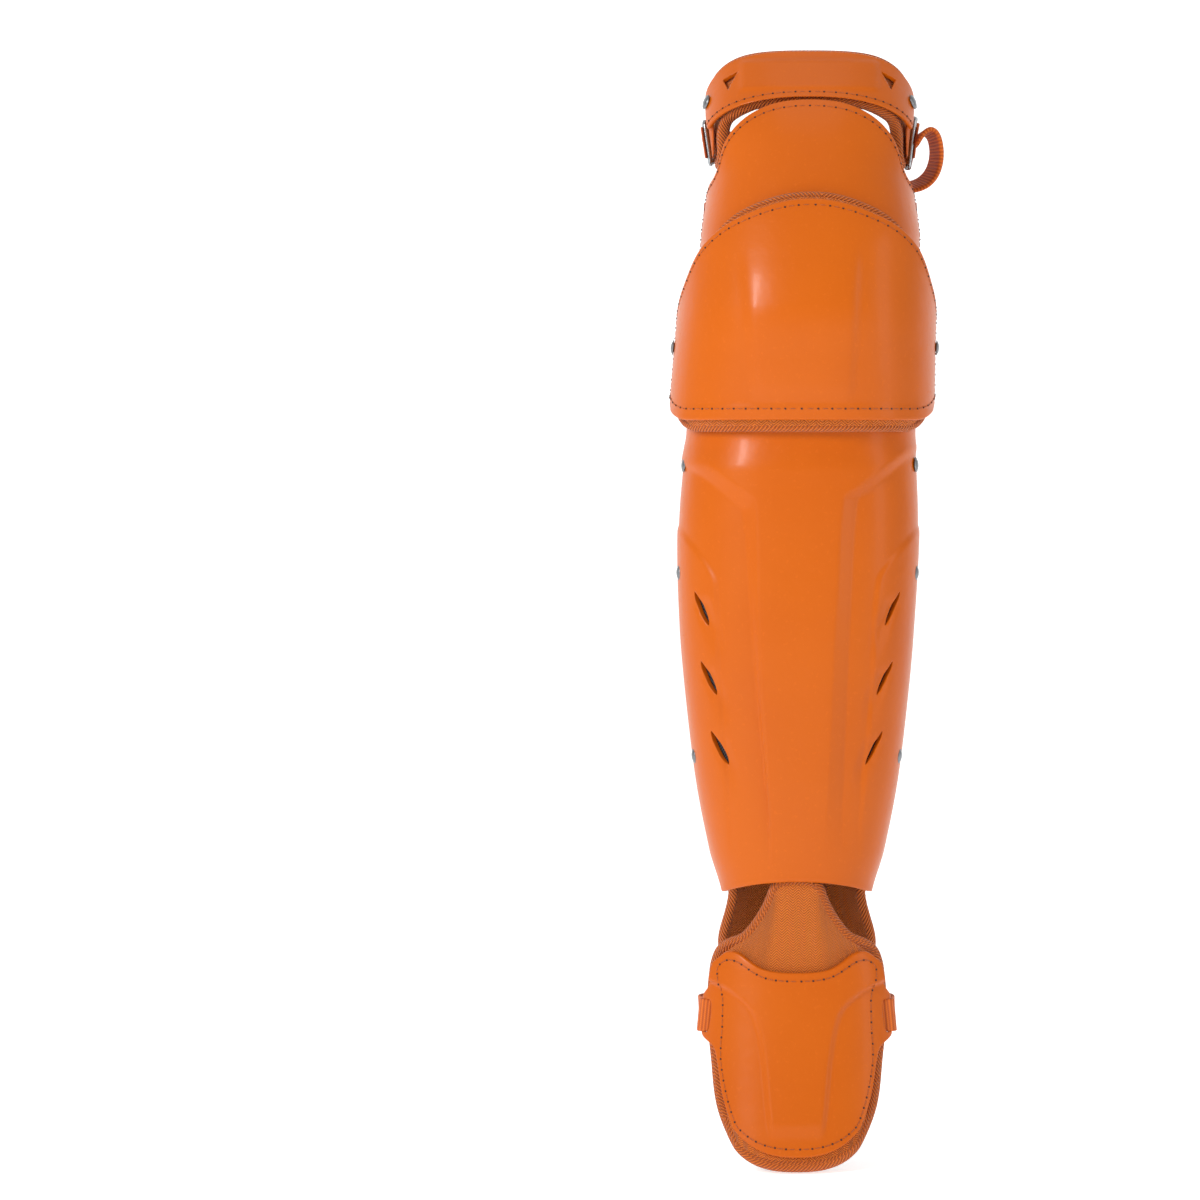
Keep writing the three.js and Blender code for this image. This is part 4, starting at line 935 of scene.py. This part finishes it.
def cutters(name, places):
    """Closed prisms that cut holes: each is its height, angle, and its outline across and up."""
    points, faces = [], []
    for z, angle, corners in places:
        z, angle = float(z), float(angle)
        origin, out = wall(z, angle, PLATE_OUT), outwards(z, angle, PLATE_OUT)
        girth = unit(np.cross([0, 0, 1], out))
        up = np.cross(out, girth)
        first, count = len(points), len(corners)
        for depth in (-CUT_DEPTH, CUT_DEPTH):
            points.extend(origin + a * girth + b * up + depth * out for a, b in corners)
        faces.append(list(range(first + count - 1, first - 1, -1)))
        faces.append(list(range(first + count, first + 2 * count)))
        for i in range(count):
            j = (i + 1) % count
            faces.append([first + i, first + j, first + count + j, first + count + i])
    return outward(add_mesh(name, metres(points), faces, [SHELL_PLASTIC]))


def cut_through(obj, places):
    tool = cutters(f"{obj.name}_cutters", places)
    shade(tool.data, False)
    modifier = obj.modifiers.new("openings", "BOOLEAN")
    modifier.operation, modifier.solver, modifier.object = "DIFFERENCE", "EXACT", tool
    settle(obj)
    bpy.data.objects.remove(tool)


def slot_outline(half_length, half_width, slant, power):
    x, y = oval(half_width, half_length, 28, power, 0.8).T
    return list(zip(x + slant * y, y))


def plate(name, outline, inner, relief, size, counts, corner=0.02, cuts=()):
    def outer(angle, z, inward):
        return inner + SHELL + (relief(angle, z) if relief else 0 * angle)

    obj = panel(f"{name}_shell", outline, flat(inner), outer, size, counts, SHELL_RIM,
                [SHELL_PLASTIC], corner)
    if cuts:
        cut_through(obj, cuts)
    finished(obj, "shell", name)


def make_plates():
    # Six slanted vents, the right three of which look narrower, two windows and two strap slots
    vents = [(shin(share), side * angle_for(distance, shin(share), PLATE_OUT),
              slot_outline(11.5, 2.7 if side < 0 else 1.9, side * 0.5, 1.5))
             for share, distance, side in SHIN_SLOTS]
    windows = [(lerp(TOP_BOTTOM, TOP_EDGE, 0.42), side * 47,
                [(side * x, z) for x, z in ((-5, 8), (-5, -9), (5, 1))]) for side in (-1, 1)]
    ear_slots = [(foot(0.695), side * 61, slot_outline(11.15, 5.2, 0, 0.45)) for side in (-1, 1)]
    plate("shin_plate", shin_plate, PLATE_IN, shin_relief, (230, 340), (180, 190), 0.012, vents)
    plate("knee_cap", knee_cap, CAP_IN, knee_relief, (250, 120), (130, 80), 0.06)
    plate("thigh_plate", thigh_plate, PLATE_IN, None, (210, 120), (100, 60))
    plate("thigh_top_plate", top_plate, PLATE_IN, top_relief, (160, 36), (110, 36), 0.03, windows)
    plate("foot_plate", foot_plate, PLATE_IN, foot_relief, (130, 110), (120, 100), cuts=ear_slots)


# ---------------------------------------------------------------- soft pads, bindings and wings
TAPE_SPACING, TAPE_EASE = 1.6, 10
PAD_SKINS = [MESH, CLOTH, LINER, ORANGE_MESH]
MESH_FACE, CLOTH_FACE, LINER_AND_VENT_SHADE_FACE, ORANGE_MESH_FACE = range(4)


def cloth_outside(side, angle, z):
    return np.full(angle.shape, MESH_FACE if side else CLOTH_FACE)


def liner_and_vent_shade_skin(side, angle, z):
    """The liner is black under the shin plate, as painted shade in the vents, with orange sides."""
    return np.where((np.abs(angle) < 74) | bool(side), LINER_AND_VENT_SHADE_FACE, CLOTH_FACE)


def knee_skin(side, angle, z):
    """Inside the knee ring the mesh is orange."""
    in_ring = (angle / 17.5) ** 2 + ((z - RING_MIDDLE) / 17) ** 2 < 1
    lining = np.where(in_ring, ORANGE_MESH_FACE, MESH_FACE)
    return lining if side else np.full(angle.shape, CLOTH_FACE)


def soft(name, outline, base, thickness, thin, size, counts, skin=cloth_outside, corner=0.03):
    """A pad that thins towards its sides, between two angles, and is drawn in at its edge."""
    def outer(angle, z, inward):
        thinned = lerp(thickness, thickness - (PAD - PAD_EDGE), smooth(*thin, np.abs(angle)))
        return base + thinned - 0.9 * (1 - smooth(0, 7, inward))

    obj = panel(f"{name}_foam", outline, flat(base), outer, size, counts, PAD_RIM, PAD_SKINS,
                corner, skin)
    finished(obj, "mesh", name)


def tape(name, places, offset, facing_offset, section, closed, *nodes):
    """Tape along an edge. section is its half width, its half thickness and its count of sides."""
    angle, z = places
    path, facing = wall(z, angle, offset), outwards(z, angle, facing_offset)
    obj = follow(f"{name}_tape", path, facing, oval(*section, 0.9), closed, [TAPE])
    finished(obj, "binding", *nodes)


def binding(name, outline, base, corner, half=(BINDING_HALF_WIDTH, BINDING_HALF_THICKNESS)):
    """Tape sewn round a pad's edge. Gives the rows of stitches on its outer and inner face."""
    middle = base + PAD_EDGE / 2
    places = edge_places(outline, TAPE_SPACING, TAPE_EASE, 0.6, corner)
    tape(name, places, middle, middle, (*half, 14), True, name)
    angle, z = edge_places(outline, STITCH_PITCH, TAPE_EASE, 1.8, corner)
    return [(angle, z, middle + side * half[0] * 0.93, True) for side in (1, -1)]


# Polylines in degrees and millimetres up the leg: two triangles and a low arc on each wing
WING_SEAMS = {
    -1: [[(-140, shin(0.62)), (-103, shin(0.52)), (-150, shin(0.4))],
         [(-155, shin(0.3)), (-112, shin(0.2)), (-176, shin(0.08))]],
    1: [[(142, shin(0.62)), (103, shin(0.52)), (150, shin(0.4))],
        [(155, shin(0.3)), (112, shin(0.2)), (152, shin(0.08))]],
}
WING_PUFF, SEAM_DEPTH = 1.4, 2.4


def wing(name, outline, side):
    """A wing with its sewn grooves and the tape round it. Gives its rows of stitches."""
    seams = [np.array(line) * [WING_DEGREE, 1] for line in WING_SEAMS[side]]

    def outer(angle, z, inward):
        groove = np.max([ridge(line, 6, angle * WING_DEGREE, z) for line in seams], axis=0)
        puff = WING_PUFF * smooth(0, 16, inward)
        return WING - 0.9 + puff - SEAM_DEPTH * groove * smooth(0, 8, inward)

    def skin(inside, angle, z):
        return np.where((z > shin(0.03)) & bool(inside), 1, 0)

    obj = panel(f"{name}_foam", outline, flat(0.0), outer, (75, 330), (44, 170), PAD_RIM,
                [CLOTH, LINER], 0.01, skin)
    finished(obj, "mesh", name)
    lines = []
    for line in seams:
        angle, z = resample(eased(line, 2.0, 6, False), STITCH_PITCH, False).T
        lines.append((angle / WING_DEGREE, z, WING - 0.75 + WING_PUFF - SEAM_DEPTH + 0 * z, False))
    places = edge_places(outline, TAPE_SPACING, TAPE_EASE, 1.0, 0.01)
    tape(name, places, WING / 2 - 0.3, 0, (3.4, 2.4, 12), True)
    angle, z = edge_places(outline, STITCH_PITCH, TAPE_EASE, 2.4, 0.01)
    return lines + [(angle, z, WING / 2 + 2.9, True)]


RING_PUFFS, RING_MIDDLE = 4, KNEE_MIDDLE - KNEE_HEIGHT * 0.13


def knee_ring():
    """A ring behind the knee cap, quilted into four puffs."""
    turn = np.linspace(0, math.tau, 160, endpoint=False)
    z = RING_MIDDLE + KNEE_HEIGHT * 0.165 * np.sin(turn)
    angle = 24 * np.cos(turn)
    distance = KNEE_PAD_IN - LAP_GAP - PAD / 2
    puff = 1 - 0.3 * np.abs(np.cos(turn * RING_PUFFS / 2)) ** 14
    profile = oval(1, 1, 20, 0.85)[None] * np.stack([PAD / 2 * puff, PAD * puff], -1)[:, None]
    path, wide = wall(z, angle, distance), outwards(z, angle, distance)
    obj = follow("knee_ring_foam", path, wide, profile, True, [MESH])
    finished(obj, "mesh", "knee_ring")


def make_soft_parts():
    soft("thigh_top_pad", top_pad, -2 * GAP, PAD - 2 * GAP, (50, 66), (190, 60), (100, 40),
         corner=0.05)
    soft("thigh_pad", thigh_pad, 0, PAD - GAP, (56, 76), (250, 110), (120, 60), corner=0.04)
    soft("knee_pad", knee_pad, KNEE_PAD_IN, KNEE_PAD - GAP, (56, 78), (280, 120), (130, 70),
         knee_skin, 0.06)
    soft("foot_pad", foot_pad, 0, PAD, (40, 52), (140, 140), (80, 90))
    # The shin liner's outer face is black under the plate: painted shade in the vents
    soft("shin_liner", shin_liner, 0, PAD - GAP, (62, 80), (220, 300), (80, 110), liner_and_vent_shade_skin)
    lines = binding("thigh_top_binding", top_pad, -2 * GAP, 0.05)
    lines += binding("thigh_binding", thigh_pad, 0, 0.04)
    lines += binding("knee_binding", knee_pad, KNEE_PAD_IN, 0.06)
    lines += binding("foot_binding", foot_pad, 0, 0.03, (4.8, 4.6))
    lines += wing("calf_wing_left", wing_left, -1)
    lines += wing("calf_wing_right", wing_right, 1)
    # Tape over the shin liner's upper edge, which shows below the knee pad
    places = edge_places(shin_liner, TAPE_SPACING, TAPE_EASE, 0.6, 0.03, False, "top")
    section = BINDING_HALF_WIDTH, BINDING_HALF_THICKNESS, 14
    tape("shin_liner", places, PAD / 2, PAD / 2, section, False)
    knee_ring()
    seam("cloth_stitches", lines)


def plate_seam(outline, offset, relief, inset, sides, corner, phase):
    """A row of stitches on a plate, at a distance from the named edges."""
    closed = len(sides.split()) == 4
    angle, z = edge_places(outline, PLATE_STITCH_PITCH / 2, 6, inset, corner, closed, sides)
    angle, z = angle[phase::2], z[phase::2]
    return angle, z, offset + (relief(angle, z) if relief else 0) + 0.05, closed


def make_plate_stitches():
    """Long stitches of thread on plates, diving into a hole between each two, shown as painted
    shade.
    """
    arch, bottom = "right top left", "bottom"
    for name, phase, paint, length, radius in (
        ("plate_stitches", 0, THREAD, 4.4, 0.4), ("stitch_hole_shade", 1, STITCH_HOLE_SHADE, 1.7, 0.75),
    ):
        seam(name, [
            plate_seam(thigh_plate, PLATE_OUT, None, 5, arch, 0.02, phase),
            plate_seam(knee_cap, CAP_OUT, knee_relief, 4.5, arch, 0.05, phase),
            plate_seam(knee_cap, CAP_OUT, knee_relief, 7.5, bottom, 0.0, phase),
            plate_seam(top_plate, PLATE_OUT, top_relief, 3.8, bottom, 0.0, phase),
            plate_seam(foot_seam, PLATE_OUT, foot_relief, 5.5, f"{bottom} {arch}", 0.02, phase),
        ], paint, length, radius)


# ---------------------------------------------------------------- straps and their hardware
class Way:
    """A strap's way round the back: s along it, h the distance from the leg form, w up."""

    def __init__(self, z, start, sag=0, lift=0, standoff=0):
        self.z, self.sag, self.lift, self.standoff = z, sag, lift, standoff
        self.angles = -lerp(start, 360 - start, np.linspace(0, 1, 121))
        self.places = distances(
            wall(self.height(self.angles), self.angles, RING_PLANE + self.extra(self.angles)))
        self.length = self.places[-1]
        self.angles_per_mm = (self.angles[1] - self.angles[0]) / self.places[1]
        tab, hook, end = TAB_LENGTH, HOOK_BAR, self.length
        slide = end - tab - BUCKLE_REACH
        # A band lies flat over each ring and bar that it goes round
        self.straight = curve(
            (0, 0), (tab - 7, tab - 7), (tab - 4, tab), (tab + 4, tab), (hook - 18, hook),
            (hook + 5, hook), (hook + 14, hook + 14), (slide - 10, slide - 10), (slide - 4, slide),
            (slide + 4, slide), (end - tab - 4, end - tab), (end - tab + 4, end - tab),
            (end - tab + 8, end - tab + 8), (end, end),
        )

    def round_back(self, angle):
        return 180 - np.abs(180 - np.abs(angle))

    def height(self, angle):
        return self.z - self.sag * smooth(120, 180, self.round_back(angle))

    def extra(self, angle):
        return self.lift + self.standoff * smooth(108, 150, self.round_back(angle))

    def at(self, s, h, above=0):
        beyond = np.minimum(s, 0) + np.maximum(s - self.length, 0)
        angle = between(self.places, self.angles, s) + beyond * self.angles_per_mm
        return wall(self.height(angle) + above, angle, h + self.extra(angle))

    def up(self, s):
        s = self.straight(s)
        along = unit(self.at(s + 1, RING_PLANE) - self.at(s - 1, RING_PLANE))
        rise = self.at(s, RING_PLANE, 1) - self.at(s, RING_PLANE, -1)
        return unit(rise - along * np.sum(rise * along, -1, keepdims=True))

    def out(self, s):
        return unit(self.at(s, RING_PLANE + 5) - self.at(s, RING_PLANE))


def ribbon_profile(half_width, half_thickness):
    """A flat band's section, with round edges."""
    flat_half = half_width - half_thickness
    bow = np.radians(np.linspace(60, -60, 4))
    right = [(flat_half + half_thickness * math.cos(a), half_thickness * math.sin(a)) for a in bow]
    upper = [(x, half_thickness) for x in np.linspace(-1, 1, 13) * flat_half]
    half = np.array(upper + right)
    return np.concatenate([half, -half])


def around_bar(s, radius, start, end, count):
    turn = np.radians(np.linspace(start, end, count))
    return [(s + radius * math.cos(a), RING_PLANE + radius * math.sin(a), s) for a in turn]


def mirrored(rows, length):
    return [(length - s, h, length - middle) for s, h, middle in rows]


TAB_TURN = WIRE_RADIUS + 2 * GAP + WEBBING / 2
STRAP_TURN = WIRE_RADIUS + 2 * GAP + STRAP / 2
TAB_ROWS = [(s, RING_PLANE - TAB_TURN, s) for s in np.linspace(0, TAB_LENGTH - 1, 9)]
TAB_ROWS += around_bar(TAB_LENGTH, TAB_TURN, -90, 125, 14)


def strap_start(bar):
    rows = [(s, RING_PLANE - STRAP_TURN, s) for s in np.linspace(bar + STRAP_END, bar + 1.5, 8)]
    rows += around_bar(bar, STRAP_TURN, 270, 90, 13)
    return rows + [(bar + 2, RING_PLANE + STRAP_TURN, bar + 2)]


def band(name, way, rows, width, thickness):
    s, h, middle = np.array(rows).T
    profile = ribbon_profile(width / 2, thickness / 2)
    obj = follow(f"{name}_webbing", way.at(s, h), way.up(middle), profile, False, [ELASTIC])
    finished(obj, "elastic", name)


def bent_rod(name, way, corners, ease):
    places = resample(eased(corners, 1.0, ease, True), 1.1, True)
    s, w = places[:, 0], places[:, 1:]
    path = way.at(s, RING_PLANE) + way.up(s) * w
    obj = follow(f"{name}_rod", path, way.out(s), oval(WIRE_RADIUS, WIRE_RADIUS, 14), True, [STEEL])
    finished(obj, "steel", name)


def hook_details(name, way):
    """The stamped hook keeps its solid, with eased edges. A dark stud sits in its neck."""
    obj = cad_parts[f"{name}_hook"]
    obj.data.materials.clear()
    obj.data.materials.append(HOOK_STEEL)
    eased_edges = obj.modifiers.new("eased_edges", "BEVEL")
    eased_edges.width, eased_edges.segments, eased_edges.limit_method = 0.0005, 2, "ANGLE"
    at = float(HOOK_START + 15)
    place = [way.at(at, RING_PLANE + HOOK_PLATE / 2 - 0.2)]
    stud = repeat_on(f"{name}_stud", place, way.up(at), way.out(at), RIVET_HEADS, DARK_STEEL,
                     Radius=2.8, Height=1.6)
    finished(stud, "steel")


def strap_set(name, way):
    """A strap, its tabs, rings and hook. Gives its stitches' points, runs and out directions."""
    ring_bar = way.length - TAB_LENGTH
    slide_bar = ring_bar - BUCKLE_REACH
    band(f"{name}_hook_tab", way, TAB_ROWS, TAB_WIDTH, WEBBING)
    band(f"{name}_ring_tab", way, mirrored(TAB_ROWS, way.length), TAB_WIDTH, WEBBING)
    turn = np.radians(np.linspace(-78, 78, 15))
    bow = [(TAB_LENGTH + RING_REACH * math.cos(a), (RING_HALF_HEIGHT - 1.5) * math.sin(a))
           for a in turn]
    bent_rod(f"{name}_d_ring", way, [(TAB_LENGTH, 13), (TAB_LENGTH, -13)] + bow, 5)
    half, cut = RING_HALF_HEIGHT, 1.2
    low, high = slide_bar + cut, ring_bar - cut
    ring = [(slide_bar, half - cut), (slide_bar, cut - half), (low, -half), (high, -half),
            (ring_bar, cut - half), (ring_bar, half - cut), (high, half), (low, half)]
    bent_rod(f"{name}_slide_ring", way, ring, 4)
    hook_details(name, way)
    outer = RING_PLANE + STRAP_TURN
    rows = strap_start(HOOK_BAR)
    rows += [(s, outer, s) for s in np.linspace(HOOK_BAR + 8, slide_bar - 8, 90)]
    rows += mirrored(strap_start(way.length - slide_bar), way.length)[::-1]
    band(f"{name}_strap", way, rows, STRAP_WIDTH, STRAP)
    sewn = [HOOK_BAR + 13, HOOK_BAR + 16, slide_bar - 13, slide_bar - 16]
    across_places = np.arange(-13, 13.1, STITCH_PITCH)
    s, w = (grid.ravel() for grid in np.meshgrid(sewn, across_places, indexing="ij"))
    up = way.up(s)
    return way.at(s, outer + STRAP / 2 + 0.05) + up * w[:, None], up, way.out(s)


def foot_band():
    """Each end rises through its slot in the plate, and goes over the outer bar of the ear."""
    way = Way(foot(0.695), 61)
    behind, front = PAD_EDGE + GAP + STRAP / 2, PLATE_OUT + GAP + STRAP / 2
    near_end, settled = -7.5, 24
    dip = curve((near_end, behind), (-4.2, behind), (3.6, front), (6.8, front), (14, behind + 1),
                (settled, behind + 1.5))
    ends = np.linspace(near_end, settled, 40)
    middle = np.linspace(settled + 2, way.length - settled - 2, 60)
    places = np.concatenate([ends, middle, way.length - ends[::-1]])
    heights = dip(np.minimum(np.minimum(places, way.length - places), settled))
    band("foot_strap", way, list(zip(places, heights, places)), FOOT_STRAP_WIDTH, STRAP)


def loose_loop():
    """The end of the top strap bulges out of its slide ring, and curls in behind the thigh."""
    bends = [(82, 52, 702), (87, 52, 712), (92, 53, 716), (97, 54, 711), (99, 56, 698),
             (96.5, 57, 686), (90, 58, 678), (81, 60, 675), (68, 62, 675.5)]
    path = eased(bends, 1.0, 40, False)
    turn = np.linspace(0, 1, len(path))[:, None]
    wide = lerp(np.array([-0.2, 0.95, -0.15]), np.array([-0.35, 0.85, 0.35]), turn)
    profile = ribbon_profile(STRAP_WIDTH / 2 - 2, STRAP)
    finished(follow("thigh_top_strap_loop", path, wide, profile, False, [ELASTIC]), "elastic")


def make_straps():
    ways = {
        "thigh_top": Way(TOP_BOTTOM - 26, 76, sag=14, lift=-0.25, standoff=3),
        "thigh": Way(thigh(0.4), 84, standoff=5),
        "knee": Way(knee(0.353), 88, lift=KNEE_PAD_IN, standoff=3),
        "calf": Way(shin(0.65), 90),
        "lower_calf": Way(shin(0.28), 88),
    }
    rows = [strap_set(name, way) for name, way in ways.items()]
    loose_loop()
    foot_band()
    points, runs, outs = (np.concatenate(parts) for parts in zip(*rows))
    obj = repeat_on("strap_stitches", points, runs, outs, STITCHES, THREAD,
                    Length=STITCH_LENGTH, Radius=STITCH_RADIUS)
    finished(obj, "elastic")


RIVETS = {
    "top": (TOP_BOTTOM + 1, 70, PLATE_OUT),
    "knee": (knee(0.353), 86, CAP_OUT),
    "shin_high": (shin(0.868), 78, PLATE_OUT),
    "shin_middle": (shin(0.65), 80, PLATE_OUT),
    "shin_low": (shin(0.28), 78, PLATE_OUT),
}


def make_rivets():
    for name, (z, side_angle, offset) in RIVETS.items():
        for side, label in ((-1, "left"), (1, "right")):
            point = wall([z], side * side_angle, offset + GAP)
            out = outwards([z], side * side_angle, offset)
            obj = repeat_on(f"rivet_{name}_{label}_head", point, np.cross([0, 0, 1], out), out,
                            RIVET_HEADS, RIVET_STEEL, Radius=RIVET_RADIUS, Height=RIVET_HEIGHT)
            finished(obj, "steel", f"rivet_{name}_{label}")


# ---------------------------------------------------------------- camera, floor and light
WORLD_LIGHT, FLOOR_GLOW = 0.52, 0.46
FLOOR_LEVEL, FLOOR_FRONT, FLOOR_HALF_WIDTH = -0.581, -6.0, 7.0
WALL_BEND, WALL_AT, WALL_TOP = 1.5, 4.0, 6.0


def camera():
    data = bpy.data.cameras.new("camera")
    data.lens, data.sensor_width, data.shift_x = 120, 36, -0.164
    obj = linked("camera", data)
    obj.location = (0, -2.76, -0.1957)
    obj.rotation_euler = (math.radians(90), 0, 0)
    bpy.context.scene.camera = obj


def floor():
    """A pale floor that turns up behind into a plain wall."""
    made = Finish("pale_floor", 0.95, Specular_IOR_Level=0.1, Emission_Color=(1, 1, 1, 1),
                  Emission_Strength=FLOOR_GLOW)
    made.set(Base_Color=made.mixed(noise(made.tree, 1.5), "FAFAFA", "FDFDFD"))
    turn = np.radians(np.linspace(0, 90, 25))
    bend = [(WALL_AT - WALL_BEND * (1 - math.sin(t)), FLOOR_LEVEL + WALL_BEND * (1 - math.cos(t)))
            for t in turn]
    section = [(FLOOR_FRONT, FLOOR_LEVEL), *bend, (WALL_AT, WALL_TOP)]
    points = [(side * FLOOR_HALF_WIDTH, y, z) for y, z in section for side in (-1, 1)]
    faces = [[2 * k, 2 * k + 1, 2 * k + 3, 2 * k + 2] for k in range(len(section) - 1)]
    add_mesh("floor", points, faces, [made.material])


def area_light(name, place, aim, size, power):
    data = bpy.data.lights.new(name, "AREA")
    data.shape, data.size, data.size_y, data.energy = "RECTANGLE", size[0], size[1], power
    obj = linked(name, data)
    obj.location = place
    obj.rotation_euler = (Vector(aim) - Vector(place)).to_track_quat("-Z", "Y").to_euler()


def studio():
    world = bpy.data.worlds.new("white_studio")
    bpy.context.scene.world = world
    world.use_nodes = True
    tree = world.node_tree
    background = tree.nodes["Background"]
    background.inputs["Color"].default_value = (1, 1, 1, 1)
    # It lights softly, and is plain white where the camera looks past the floor
    seen = Field(node(tree, "ShaderNodeLightPath").outputs["Is Camera Ray"])
    feed(background.inputs["Strength"], seen * (1 - WORLD_LIGHT) + WORLD_LIGHT)
    area_light("key_softbox", (-1.5, -1.8, 0.95), (0, 0, 0), (0.3, 1.1), 37)
    area_light("side_softbox", (1.8, -0.9, 0.4), (0, 0, -0.05), (0.5, 1.6), 5)
    area_light("top_softbox", (0, -0.2, 2.0), (0, 0, 0), (1.0, 1.0), 2)


bpy.context.scene.view_settings.view_transform = "Standard"
camera()
floor()
studio()
make_plates()
make_soft_parts()
make_plate_stitches()
make_straps()
make_rivets()
